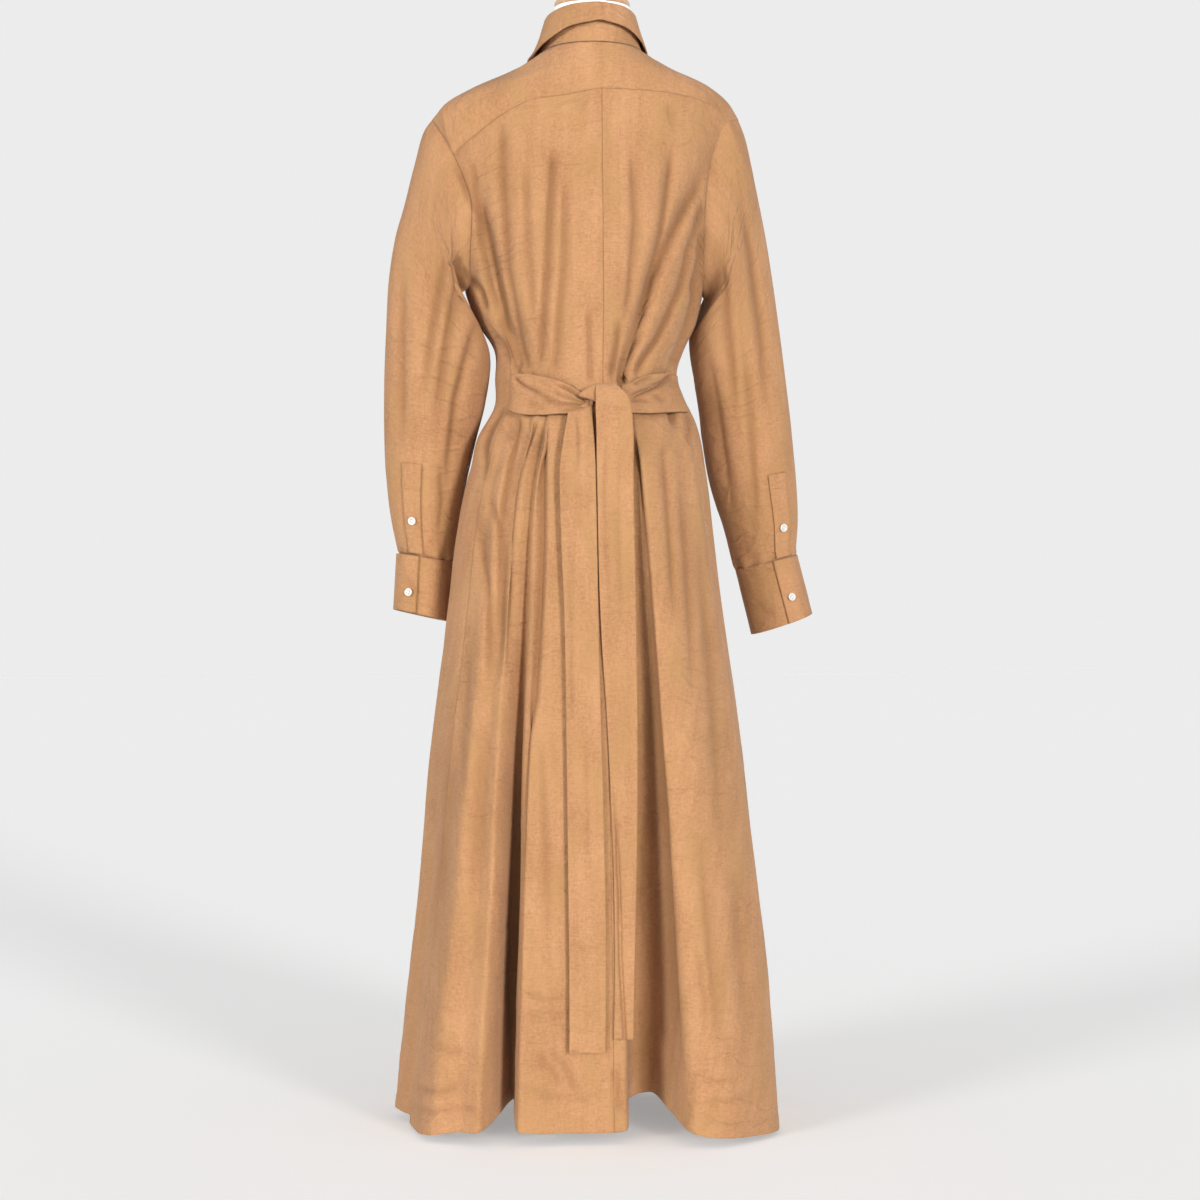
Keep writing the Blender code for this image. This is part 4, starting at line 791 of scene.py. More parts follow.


# ---- creases on the back
# One row for each crease: depth in mm (a ridge is negative), width of its left and right
# side in pixels, shares of its length over which it fades in and out, and x and y of each
# point of its path in pixels.
# A positive depth also puts painted shade along the crease's middle, where the cloth faces the
# camera.
CREASES = (
    # bodice, left
    (3.4, 2.5, 8, 0.12, 0.1, 453, 157, 467, 195, 476, 214, 486, 250, 497, 300, 506, 338, 516,
     374),
    (3.1, 3, 5, 0.15, 0.1, 469, 152, 474, 196, 480, 214, 487, 240, 493, 280, 503, 330, 521, 374),
    (6.2, 2, 3, 0.5, 0.1, 497, 325, 504, 345, 512, 362, 517, 374),
    (2.5, 3.5, 6, 0.12, 0.08, 501, 116, 501, 160, 506, 268, 520, 350, 530, 378),
    (2.9, 2.5, 6, 0.1, 0.1, 551, 141, 552, 166, 549, 205, 546, 268, 540, 330, 537, 372),
    (2.2, 3, 6, 0.15, 0.1, 565, 170, 563, 268, 556, 330, 552, 380),
    (1.9, 3, 4, 0.3, 0.1, 588, 300, 590, 385),
    (1.8, 4, 5, 0.25, 0.25, 524, 150, 528, 260, 533, 330),
    # bodice, right
    (1, 3, 6, 0.25, 0.5, 668, 100, 671, 118, 675, 136),
    (2.8, 5, 4, 0.2, 0.15, 674, 136, 670, 178, 663, 232, 652, 290, 640, 335),
    (5.2, 9, 3, 0.3, 0.1, 713, 143, 699, 189, 686, 214, 670, 250, 656, 280, 643, 325, 631, 360,
     621, 388),
    (6.2, 3, 2, 0.5, 0.1, 648, 318, 641, 342, 630, 366, 620, 388),
    (4, 5, 3, 0.2, 0.1, 697, 232, 682, 290, 660, 338, 645, 360, 634, 380),
    (3.4, 5, 3, 0.2, 0.1, 703, 262, 697, 300, 684, 340, 672, 372),
    (2.6, 4, 4, 0.4, 0.2, 622, 310, 618, 345, 611, 383),
    (2.3, 4, 5, 0.2, 0.2, 632, 140, 636, 220, 630, 290, 624, 330),
    (2.5, 4, 5, 0.2, 0.2, 705, 200, 694, 240, 688, 262),
    # skirt under the belt, left to right
    (3, 2, 6, 0.05, 0.3, 504, 408, 494, 430, 488, 447, 485, 472, 487, 491),
    (2.6, 3, 5, 0.2, 0.4, 485, 480, 491, 510, 500, 527, 501, 560, 500, 592, 499, 640, 497, 698),
    (2.4, 3, 6, 0.3, 0.3, 476, 478, 478, 515, 482, 562, 486, 592, 489, 640, 488, 700),
    (3.1, 3, 6, 0.1, 0.3, 519, 412, 513, 445, 507, 483, 502, 505, 501, 545),
    (3, 3, 4, 0.05, 0.4, 538, 416, 529, 440, 519, 470, 515, 492, 511, 536, 511, 620, 507, 700),
    (4.5, 8, 2, 0.05, 0.2, 549, 417, 545, 440, 544, 483, 544, 540, 542, 600, 536, 698, 528, 740,
     524, 800, 519, 900, 516, 1000, 514, 1096),
    (2.8, 3, 3, 0.1, 0.5, 592, 412, 592, 450, 590, 500),
    (4.2, 8, 2, 0.05, 0.2, 631, 429, 640, 476, 645, 519, 649, 573, 653, 650, 657, 720, 664, 810,
     669, 900, 674, 985, 683, 1100),
    (3.4, 3, 3, 0.05, 0.5, 674, 410, 673, 418, 676, 428),
    (2.5, 3, 3, 0.1, 0.5, 687, 414, 690, 430, 689, 450),
    (2, 4, 4, 0.3, 0.4, 662, 420, 668, 500, 672, 560, 676, 640),
    (1.8, 4, 5, 0.3, 0.4, 679, 450, 684, 520, 690, 610, 694, 720),
    (1.4, 5, 5, 0.3, 0.4, 698, 520, 706, 620, 716, 740, 722, 860),
    # round the belt: troughs along its edges, with painted shadow along them
    (1.8, 2, 2.5, 0.05, 0.05, 503, 408, 520, 411, 538, 415, 556, 416, 575, 412),
    (1.8, 2, 2.5, 0.05, 0.05, 630, 415, 650, 414, 677, 412),
    (1.8, 2.5, 2, 0.05, 0.05, 514, 374, 535, 378, 556, 382, 575, 389),
    (1.8, 2.5, 2, 0.05, 0.05, 631, 390, 642, 382, 656, 377, 672, 371),
    # lower skirt
    (1.6, 7, 7, 0.3, 0.4, 487, 700, 480, 790, 476, 870, 477, 930),
    (1.6, 5, 8, 0.3, 0.4, 455, 700, 446, 800, 437, 900, 431, 980),
    (1.2, 5, 5, 0.4, 0.4, 470, 620, 464, 720, 458, 820),
    (1.2, 5, 4, 0.3, 0.4, 540, 720, 546, 820, 548, 920, 545, 980),
    (1.3, 4, 6, 0.3, 0.4, 612, 1060, 617, 1085, 621, 1120),
    (1.2, 5, 5, 0.4, 0.4, 640, 700, 643, 800, 640, 900, 646, 990),
    (1.4, 5, 7, 0.3, 0.4, 700, 820, 708, 920, 716, 1010, 722, 1080),
    (1.2, 6, 6, 0.3, 0.4, 735, 860, 742, 960, 747, 1050),
    (1.1, 4, 4, 0.4, 0.4, 690, 930, 700, 960, 705, 1000, 704, 1050),
    (1.6, 3, 4, 0.3, 0.3, 407, 1080, 424, 1090, 442, 1091, 466, 1084),
    (1.3, 3, 4, 0.3, 0.3, 430, 1040, 452, 1052, 470, 1048),
    (1.2, 3, 4, 0.3, 0.3, 404, 1100, 430, 1112, 465, 1108, 490, 1116),
    (1.4, 3, 5, 0.3, 0.3, 530, 1051, 548, 1066, 567, 1091),
    (1.6, 3, 5, 0.3, 0.3, 541, 1046, 563, 1062, 580, 1102),
    (1.2, 3, 4, 0.3, 0.3, 520, 1084, 545, 1096, 585, 1100, 612, 1090),
    (1.2, 3, 4, 0.3, 0.3, 520, 990, 545, 1000, 570, 996),
    (1, 3, 4, 0.3, 0.3, 520, 1015, 548, 1012, 568, 1020),
    (1, 3, 4, 0.3, 0.3, 690, 1070, 715, 1082, 745, 1078),
    (1, 3, 4, 0.3, 0.3, 700, 1105, 730, 1100, 765, 1092),
    # armpits
    (3, 3, 5, 0.3, 0.2, 462, 250, 457, 265, 459, 285, 470, 306),
    (4, 2, 3, 0.1, 0.1, 464, 268, 470, 280, 480, 292, 487, 312),
    (3.5, 2, 4, 0.3, 0.2, 476, 205, 478, 235, 482, 262, 488, 290, 499, 325),
    (2.6, 4, 3, 0.3, 0.2, 706, 215, 703, 245, 699, 275, 693, 300),
    (2.6, 4, 3, 0.3, 0.2, 722, 262, 714, 285, 704, 300, 697, 318),
    # sleeves
    (3.1, 4, 7, 0.3, 0.4, 466, 250, 456, 290, 446, 340, 438, 400, 432, 450),
    (2.4, 4, 6, 0.3, 0.4, 452, 235, 440, 280, 428, 350, 420, 420),
    (2, 4, 5, 0.3, 0.4, 404, 250, 400, 330, 401, 420, 404, 480),
    (2.7, 3, 5, 0.3, 0.4, 480, 300, 470, 340, 455, 400, 448, 460, 450, 520),
    (2, 4, 5, 0.3, 0.4, 440, 455, 443, 500, 438, 552),
    (2.4, 6, 4, 0.3, 0.4, 716, 230, 727, 300, 733, 380, 737, 450),
    (2.4, 6, 4, 0.3, 0.4, 735, 170, 752, 250, 764, 350, 770, 440),
    (2, 5, 4, 0.3, 0.4, 745, 330, 752, 420, 755, 500, 752, 560),
    (1.7, 5, 4, 0.3, 0.4, 705, 330, 716, 400, 726, 470, 736, 540),
)


def crease(place, depth, left, right, enter, leave, *path):
    """How far a trough along a path lowers the places around it, in metres, and how strong the
    painted shade along its middle is.
    """
    path = np.reshape(path, (-1, 2)).astype(float)
    step = np.diff(path, axis=0)
    length = np.linalg.norm(step, axis=1)
    start = run_along(path)
    best = np.full(place.shape[:-1], 1e9)
    share = np.zeros_like(best)
    side = np.zeros_like(best)
    for k, run in enumerate(step / length[:, None]):
        off = place - path[k]
        along = np.clip(off @ run, 0.0, length[k])
        gap = off - along[..., None] * run
        far = np.hypot(gap[..., 0], gap[..., 1])
        near = far < best
        best = np.where(near, far, best)
        share = np.where(near, (start[k] + along) / start[-1], share)
        side = np.where(near, run[0] * off[..., 1] - run[1] * off[..., 0], side)
    near = best / np.where(side > 0, left, right)
    fade = ease(share / enter) * ease((1 - share) / leave)
    low = 0.001 * depth * fade * (0.65 * np.exp(-near ** 2) + 0.35 * np.exp(-(2.4 * near) ** 2))
    # painted shade along the middle of a trough, none on a ridge
    shade_core = fade * min(abs(depth) / 6.0, 1.0) * np.exp(-(1.5 * near) ** 2) * (depth > 0)
    return low, shade_core


# ---- fine grids
def spread(points, pitch, ring=False, extra=()):
    """Points read every `pitch` metres along the first axis, on smooth curves."""
    count = len(points)
    if ring:
        points = np.concatenate((points[-2:], points, points[:3]))
    chord = np.linalg.norm(np.diff(points, axis=0), axis=-1).mean(axis=1)
    chord = np.maximum(chord, 1e-6)[:, None, None]
    slope = np.diff(points, axis=0) / chord
    tangent = np.concatenate((slope[:1], slope))
    share = chord[1:] / (chord[1:] + chord[:-1])
    tangent[1:-1] = mix(slope[1:], slope[:-1], share)
    made = []
    first = 2 if ring else 0
    for k in range(first, first + count - (0 if ring else 1)):
        steps = max(1, int(math.ceil(chord[k, 0, 0] / pitch)))
        places = np.arange(steps) / steps
        if k == 0 and len(extra):
            places = np.union1d(places, extra)
        for t in places:
            made.append((1 + 2 * t) * (1 - t) ** 2 * points[k]
                        + t * (1 - t) ** 2 * chord[k] * tangent[k]
                        + t * t * (3 - 2 * t) * points[k + 1]
                        + t * t * (t - 1) * chord[k] * tangent[k + 1])
    if not ring:
        made.append(points[-1])
    return np.array(made)


def refine(points, down, across, ring=False, extra=()):
    """Grid read every `down` metres from row to row and `across` along the rows."""
    points = spread(points, down, extra=extra)
    return spread(points.swapaxes(0, 1), across, ring).swapaxes(0, 1)


def flat_map(points, grain):
    """Place of each point on the flat cloth in metres, across and along its grain."""
    u = run_along(points, 1)
    column = int(grain * (points.shape[1] - 1))
    u -= u[:, column:column + 1]
    return np.stack((u, run_along(points[:, column])[:, None] + 0 * u), axis=-1)


def rumple(place, seed, count, deep, long, wide, lean=0.12):
    """Uneven soft troughs and ridges over a flat place, most of them upright."""
    rng = np.random.default_rng(seed)
    low = place.reshape(-1, 2).min(axis=0)
    high = place.reshape(-1, 2).max(axis=0)
    total = np.zeros(place.shape[:-1])
    for _ in range(count):
        off = place - rng.uniform(low, high)
        tilt = rng.normal(0.0, lean)
        length = long * rng.uniform(0.5, 1.6)
        width = wide * rng.uniform(0.5, 1.5)
        height = deep * rng.uniform(-1.0, 0.7)
        bend = rng.normal(0.0, 0.25)
        along = off[..., 1] * math.cos(tilt) + off[..., 0] * math.sin(tilt)
        across = off[..., 0] * math.cos(tilt) - off[..., 1] * math.sin(tilt)
        across = across - bend * along ** 2 / length
        total += height * np.exp(-(along / length) ** 2 - (across / width) ** 2)
    return total


def border(points, ring, open_hem):
    """0 at a piece's sewn edges to 1 inside them, and the height above its lower edge."""
    v = run_along(points)
    inside = ease((v[-1] - v) / EDGE_WIDTH)
    if not ring:
        u = run_along(points, 1)
        inside = ease(np.minimum(u, u[:, -1:] - u) / EDGE_WIDTH) * inside
    if not open_hem:
        inside *= ease(v / EDGE_WIDTH)
    return inside, v


def inset(points, normals, edge, distance):
    """Line of points and normals at a distance inside an edge of a grid."""
    if edge in ("low", "high"):
        points, normals = points.swapaxes(0, 1), normals.swapaxes(0, 1)
    if edge in ("high", "last"):
        points, normals = points[:, ::-1], normals[:, ::-1]
    line = []
    for row, out in zip(points, normals):
        run = run_along(row[:24])
        at = np.interp(distance, run, np.arange(len(run)))
        k = min(int(at), len(run) - 2)
        t = at - k
        line.append(np.concatenate((mix(row[k], row[k + 1], t), mix(out[k], out[k + 1], t))))
    line = np.array(line)
    return line[:, :3], line[:, 3:]


# ---- materials
def node(tree, kind, inputs, **settings):
    """Shader node with its settings and its inputs, values or other nodes' outputs."""
    made = tree.nodes.new(kind)
    for key, value in settings.items():
        setattr(made, key, value)
    for key, value in inputs.items():
        if isinstance(value, bpy.types.NodeSocket):
            tree.links.new(value, made.inputs[key])
        else:
            made.inputs[key].default_value = value
    return made


def noise(tree, place, scale, detail=2.0, rough=0.5):
    """Noise over a place, finer along the axes with the larger scales."""
    mapped = node(tree, "ShaderNodeMapping", {"Vector": place, "Scale": scale})
    made = node(tree, "ShaderNodeTexNoise",
                {"Vector": mapped.outputs[0], "Scale": 1.0, "Detail": detail, "Roughness": rough})
    return made.outputs["Fac"]


def weigh(tree, base, *terms):
    """base plus the sum of each socket times its weight, around its middle of 0.5."""
    for socket, weight in terms:
        base = calc(tree, "MULTIPLY_ADD", calc(tree, "SUBTRACT", socket, 0.5), weight, base)
    return base


def calc(tree, operation, *values):
    """Result of a sum on numbers and other nodes' outputs."""
    return node(tree, "ShaderNodeMath", dict(enumerate(values)), operation=operation).outputs[0]


def blend(tree, factor, low, high):
    """Colour between two colours."""
    inputs = {0: factor, MIX_LOW: low, MIX_HIGH: high}
    return node(tree, "ShaderNodeMix", inputs, data_type="RGBA").outputs[MIX_SHOWN]


def bump(tree, strength, distance, height, normal=None):
    inputs = {"Strength": strength, "Distance": distance, "Height": height}
    if normal:
        inputs["Normal"] = normal
    return node(tree, "ShaderNodeBump", inputs).outputs[0]


def blank(name, roughness, **others):
    """Material with a shader and no colour yet."""
    material = bpy.data.materials.new(name)
    material.use_nodes = True
    shader = material.node_tree.nodes["Principled BSDF"]
    shader.inputs["Roughness"].default_value = roughness
    shader.inputs["Sheen Roughness"].default_value = 0.45
    for key, value in others.items():
        shader.inputs[key.replace("_", " ")].default_value = value
    return material, material.node_tree, shader


def linen_material(name):
    """Plain-woven linen in the cloth's own flat coordinates, with slubs and crumples, and painted
    shade darkening it along the troughs of its creases.
    """
    material, tree, shader = blank(name, 0.84, Sheen_Weight=0.10, Specular_IOR_Level=0.3)
    place = tree.nodes.new("ShaderNodeTexCoord").outputs["UV"]

    def grain(across, along, detail, rough=0.5):
        return noise(tree, place, (across, along, 1.0), detail, rough)

    def between(value, low, high, **settings):
        inputs = {"Value": value, "From Min": low, "From Max": high}
        inputs.update({key.replace("_", " "): to for key, to in settings.items()})
        return node(tree, "ShaderNodeMapRange", inputs).outputs[0]

    warp, weft = grain(1150.0, 70.0, 2.0), grain(60.0, 1250.0, 2.0)
    mottle = grain(240.0, 280.0, 3.0, 0.65)
    tone = weigh(tree, 0.5, (warp, 0.55), (weft, 0.70), (mottle, 1.0),
                 (grain(95.0, 9.0, 2.0), 0.45), (grain(17.0, 11.0, 3.0), 0.80))
    shown = blend(tree, tone, LINEN_DARK, LINEN_LIGHT)
    olive = weigh(tree, 0.12, (grain(31.0, 12.0, 3.0), 2.0), (mottle, 0.5))
    shown = blend(tree, olive, shown, LINEN_OLIVE)
    speck = between(grain(330.0, 210.0, 1.0), 0.80, 0.86, To_Max=0.55)
    shown = blend(tree, speck, shown, LINEN_DARK)
    # painted shade: the cloth's fold attribute mixes the colour towards the dark crease-shade
    # colour along the troughs
    depth = node(tree, "ShaderNodeAttribute", {}, attribute_name="fold").outputs["Fac"]
    shown = blend(tree, calc(tree, "MULTIPLY", depth, 0.62), shown, LINEN_PAINTED_SHADE)
    tree.links.new(shown, shader.inputs["Base Color"])

    axes = node(tree, "ShaderNodeSeparateXYZ", {0: place})
    threads = [calc(tree, "SINE", calc(tree, "MULTIPLY", axes.outputs[axis],
                                       2 * math.pi / THREAD)) for axis in (0, 1)]
    weave = calc(tree, "MULTIPLY", *threads)
    rise = weigh(tree, 0.5, (warp, 0.8), (weft, 1.0), (mottle, 0.6), (weave, 0.25))
    soft = weigh(tree, 0.5, (grain(38.0, 21.0, 4.0), 1.0), (grain(120.0, 90.0, 3.0), 0.42))
    bent = node(tree, "ShaderNodeTexNoise", {"Vector": place, "Scale": 22.0, "Detail": 2.0})
    warped = node(tree, "ShaderNodeVectorMath", {0: bent.outputs["Color"], 1: (0.035, 0.035, 0.0),
                                                 2: place}, operation="MULTIPLY_ADD")
    stretched = node(tree, "ShaderNodeMapping", {"Vector": warped.outputs[0],
                                                 "Rotation": (0.0, 0.0, 0.5),
                                                 "Scale": (17.0, 40.0, 1.0)})
    cells = node(tree, "ShaderNodeTexVoronoi", {"Vector": stretched.outputs[0], "Scale": 1.0},
                 voronoi_dimensions="2D", feature="DISTANCE_TO_EDGE")
    fold = node(tree, "ShaderNodeMapRange", {"Value": cells.outputs["Distance"], "From Max": 0.16,
                                             "To Min": 1.0, "To Max": 0.0},
                interpolation_type="SMOOTHSTEP").outputs[0]
    ridge = calc(tree, "MULTIPLY", fold, between(grain(9.0, 7.0, 2.0), 0.36, 0.62))
    normal = bump(tree, 0.8, 0.0006, rise)
    normal = bump(tree, 0.8, 0.0025, soft, normal)
    normal = bump(tree, 0.8, 0.0013, ridge, normal)
    tree.links.new(normal, shader.inputs["Normal"])
    return material


def solid_material(name, dark, light, roughness, scale, rise=0.0003, **others):
    """Material of a hard or covered part, with grain in the object's coordinates."""
    material, tree, shader = blank(name, roughness, **others)
    place = tree.nodes.new("ShaderNodeTexCoord").outputs["Object"]
    scale = np.broadcast_to(scale, 3).tolist()
    grain = noise(tree, place, scale, 4.0)
    fine = noise(tree, place, [4 * value for value in scale], 2.0)
    tone = weigh(tree, 0.5, (grain, 1.2), (fine, 0.4))
    tree.links.new(blend(tree, tone, (*dark, 1.0), (*light, 1.0)), shader.inputs["Base Color"])
    tree.links.new(bump(tree, 0.5, rise, tone), shader.inputs["Normal"])
    return material


# ---- pieces
def linked(name, data):
    """Object with its data, in the scene."""
    made = bpy.data.objects.new(name, data)
    bpy.context.scene.collection.objects.link(made)
    return made


def mesh_object(name, points, faces, material, uv=None, painted_shade=None, sharp=None):
    mesh = bpy.data.meshes.new(name)
    mesh.from_pydata(points.reshape(-1, 3).tolist(), [], faces)
    if uv is not None:
        mesh.uv_layers.new(name="cloth").data.foreach_set("uv", uv.ravel())
    if painted_shade is not None:
        # painted shade of the creases, kept on the mesh for the linen material to darken its
        # colour
        mesh.attributes.new("fold", "FLOAT", "POINT").data.foreach_set("value", painted_shade.ravel())
    mesh.shade_smooth()
    if sharp:
        mesh.set_sharp_from_angle(angle=math.radians(sharp))
    mesh.materials.append(material)
    return linked(name, mesh)


def shell(name, points, material, wall, flip=False, ring=False, grain=0.5, seed=0, painted_shade=None):
    """Thin wall with a grid of points as its outer side, with flat coordinates and the painted
    shade of its creases.
    """
    rows, columns = points.shape[:2]
    number = np.arange(rows * columns).reshape(rows, columns)
    if ring:
        number = closed(number)
    place = flat_map(closed(points) if ring else points, grain) + 0.731 * seed
    corners = [(slice(None, -1), slice(None, -1)), (slice(None, -1), slice(1, None)),
               (slice(1, None), slice(1, None)), (slice(1, None), slice(None, -1))]
    faces = np.stack([number[c] for c in corners], axis=-1).reshape(-1, 4)
    uv = np.stack([place[c] for c in corners], axis=2).reshape(-1, 4, 2)
    if flip:
        faces, uv = faces[:, ::-1], uv[:, ::-1]
    if painted_shade is None:
        painted_shade = np.zeros((rows, columns))
    made = mesh_object(name, points, faces.tolist(), material, np.ascontiguousarray(uv), painted_shade)
    solidify = made.modifiers.new("wall", "SOLIDIFY")
    solidify.thickness = wall
    solidify.offset = -1.0
    return made


def stands_for(piece, nodes=()):
    """Piece of the one body, in the place of CAD nodes or beside them."""
    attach(piece, "root")
    if nodes:
        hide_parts(*nodes)


def stitches(name, lines, material, pitch=STITCH, thick=0.00026):
    """Running stitches along lines of points and normals, in one mesh."""
    points, faces, count = [], [], 0
    for path, out in lines:
        run = run_along(path)
        long = STITCH_SHARE * pitch
        starts = np.arange(pitch / 2, run[-1] - long, pitch)
        ends = [np.stack([np.interp(at, run, path[:, c]) for c in range(3)], axis=-1)
                for at in (starts, starts + long)]
        up = unit(np.stack([np.interp(starts, run, out[:, c]) for c in range(3)], axis=-1))
        side = unit(np.cross(up, ends[1] - ends[0]))
        middle = (ends[0] + ends[1]) / 2 + 0.3 * thick * up
        six = [ends[0] - 0.6 * thick * up, ends[1] - 0.6 * thick * up,
               middle + thick * side, middle + thick * up,
               middle - thick * side, middle - thick * up]
        points.append(np.stack(six, axis=1).reshape(-1, 3))
        order = [(0, 2, 3), (0, 3, 4), (0, 4, 5), (0, 5, 2),
                 (1, 3, 2), (1, 4, 3), (1, 5, 4), (1, 2, 5)]
        base = count + 6 * np.arange(len(starts))
        faces.append((base[:, None, None] + np.array(order)).reshape(-1, 3))
        count += 6 * len(starts)
    made = mesh_object(name, np.concatenate(points), np.concatenate(faces).tolist(), material)
    stands_for(made)
    return made


def creased(place, facing, rows, deepen, widen=1.0):
    """How far the creases lower places in the picture, and how much painted shade they put along
    their troughs.
    """
    move, painted_shade = np.zeros(facing.shape), np.zeros(facing.shape)
    shown = place[facing > 0]
    if not len(shown):
        return move, painted_shade
    first, last = shown.min(axis=0) - 20, shown.max(axis=0) + 20
    for depth, left, right, enter, leave, *path in rows:
        ends = np.reshape(path, (-1, 2))
        if (ends.max(axis=0) > first).all() and (ends.min(axis=0) < last).all():
            low, shade_core = crease(place, deepen * depth, widen * left, widen * right, enter, leave,
                               *path)
            move -= low
            painted_shade = np.maximum(painted_shade, shade_core * facing)
    return move, painted_shade


def dress_piece(name, coarse, material, flip, ring=False, pitch=(0.0058, 0.0021), seed=0,
                hem=False, sewn=("first", "last", "high"), grain=0.5, folds=(90, 0.0008),
                tucked=()):
    """Cloth of the dress itself: fine grid, creases, crumples, hem and pressed seams, with painted
    shade in the troughs.
    """
    panel = name.startswith(("back", "front"))
    sleeved = name.startswith("sleeve")
    side = 1 if "_left_" in name else -1
    fine = refine(coarse, *pitch, ring=ring, extra=HEM_STEPS if hem else ())
    normal = grid_normals(fine, flip, ring)
    inside, up = border(fine, ring, hem)
    facing = ease((normal @ AWAY - 0.05) / 0.3)
    move, painted_shade = creased(seen(fine), facing, CREASES, PANEL_DEEPEN, PANEL_WIDEN)
    move *= facing
    flat = flat_map(fine, grain)
    count, deep = folds
    soft = inside * rumple(flat, seed, count, deep, *SOFT_FOLD) * (1 - 0.45 * facing)
    move += soft
    # painted shade in the troughs of the soft folds too
    painted_shade = np.maximum(painted_shade, 0.7 * ease(-soft / 0.004))
    move += inside * rumple(flat, seed + 50, count, *FINE_CRUMPLE)
    if panel:
        belt = ease((0.045 - np.abs(fine[..., 2] - BELT_MIDDLE)) / 0.012)
        move = mix(move, np.minimum(move, 0.0), belt)
    if hem:
        edge = ease((HEM_TURN + 0.001 - up) / 0.002)
        move += 0.0005 * edge - 0.0006 * np.exp(-((up - HEM_STITCH) / 0.0022) ** 2)
        for top, fade, shift, *crumple in HEM_CRUMPLES:
            move += ease((top - up) / fade) * rumple(flat, seed + shift, *crumple)
    for edge, cut in (("first", np.s_[:, 0]), ("last", np.s_[:, -1]),
                      ("low", np.s_[0]), ("high", np.s_[-1])):
        if edge in sewn:
            move[cut] -= PRESSED
    if panel or sleeved:
        move = mix(move, -PRESSED, near_seam(name, fine))
    fine = fine + normal * move[..., None]
    level = fine[..., 2]
    if sleeved:
        towards = ease(-normal[..., 0] * side)
        fine[..., 0] -= side * 0.0055 * window(level, *UNDER_SLEEVE) * towards
    elif panel:
        half = read(BODY, 1, level.ravel()).reshape(level.shape)
        beside = ease((fine[..., 0] * side / half - 0.72) / 0.28)
        fine[..., 0] += side * 0.0045 * window(level, *UNDER_SLEEVE) * beside
        if side > 0:
            fine[..., 0] += 0.010 * window(level, *LEFT_HIP) * beside
    if side > 0 and name.startswith(("back", "sleeve")):
        near = near_seam(name, fine) * ease(fine[..., 1] / 0.03)
        fine += AWAY * (0.005 * window(level, *LEFT_SHOULDER) * near)[..., None]
    for edge in tucked:
        fine, normal, painted_shade = tuck(fine, normal, painted_shade, edge)
    made = shell(name, fine, material, LAYER, flip, ring, grain, seed, painted_shade)
    stands_for(made, [name.removesuffix("_cloth")])
    return made, fine, grid_normals(fine, flip, ring)


def turned_to(edge, grids):
    """Grids with the given edge as their first row, or such grids turned back."""
    if edge == "last":
        return [grid.swapaxes(0, 1)[::-1] for grid in grids]
    if edge == "first":
        return [grid.swapaxes(0, 1) for grid in grids]
    return [grid[::-1] if edge == "high" else grid for grid in grids]


def tuck(fine, normal, painted_shade, edge):
    """Adds a seam allowance to an edge, turned in under the neighbouring piece."""
    fine, normal, painted_shade = turned_to(edge, (fine, normal, painted_shade))
    turned_in = fine[0] + ALLOWANCE * unit(fine[0] - fine[2]) - ALLOWANCE_UNDER * normal[0]
    kept = fine[0] - 0.0007 * normal[0]
    fine = np.concatenate((turned_in[None], kept[None], fine[1:]))
    normal = np.concatenate((normal[:1], normal))
    painted_shade = np.concatenate((painted_shade[:1], painted_shade))
    if edge == "last":
        fine, normal, painted_shade = fine[::-1], normal[::-1], painted_shade[::-1]
    return turned_to("first" if edge == "last" else edge, (fine, normal, painted_shade))


def window(level, middle, half):
    """1 at a height and 0 at half the window away from it."""
    return ease(1 - np.abs(level - middle) / half)


def near_seam(name, fine):
    """1 on a panel's side seam and armhole or a sleeve's top, to 0 some 25 mm from it."""
    run = run_along(fine, 0 if name.startswith("sleeve") else 1)
    if name.startswith("back"):
        run = run[:, -1:] - run
    return np.exp(-(run / 0.012) ** 2)


def trim_piece(name, coarse, linen, thread, edges=(), distance=0.0, parts=(),
               flip=False, pitch=(0.003, 0.003), wall=0.0018, creases=(), lift=0.0, seed=0,
               fine_folds=0.00025):
    """Smaller piece on the dress, with its own creases, painted shade in their troughs, and its
    sewn edges.
    """
    fine = refine(coarse, *pitch)
    normal = grid_normals(fine, flip)
    place = seen(fine)
    facing = ease((normal @ AWAY - 0.02) / 0.25)
    move = np.full(fine.shape[:2], lift)
    painted_shade = np.zeros(fine.shape[:2])
    for row in creases:
        low, shade_core = crease(place, TRIM_DEEPEN * row[0], *row[1:])
        move -= low * facing
        # painted shade along the trough, where the piece faces the camera
        painted_shade = np.maximum(painted_shade, shade_core * facing)
    count = max(8, int(fine.shape[0] * fine.shape[1] / 90))
    move += rumple(flat_map(fine, 0.5), seed, min(count, 120), fine_folds, 0.03, 0.006, 0.4)
    fine = fine + normal * move[..., None]
    made = shell(f"{name}_cloth", fine, linen, wall, flip, seed=seed, painted_shade=painted_shade)
    out = grid_normals(fine, flip)
    stands_for(made, [name])
    parts = list(parts)
    if edges:
        lines = [inset(fine, out, edge, distance) for edge in edges]
        parts.append(stitches(f"{name}_stitches", lines, thread))


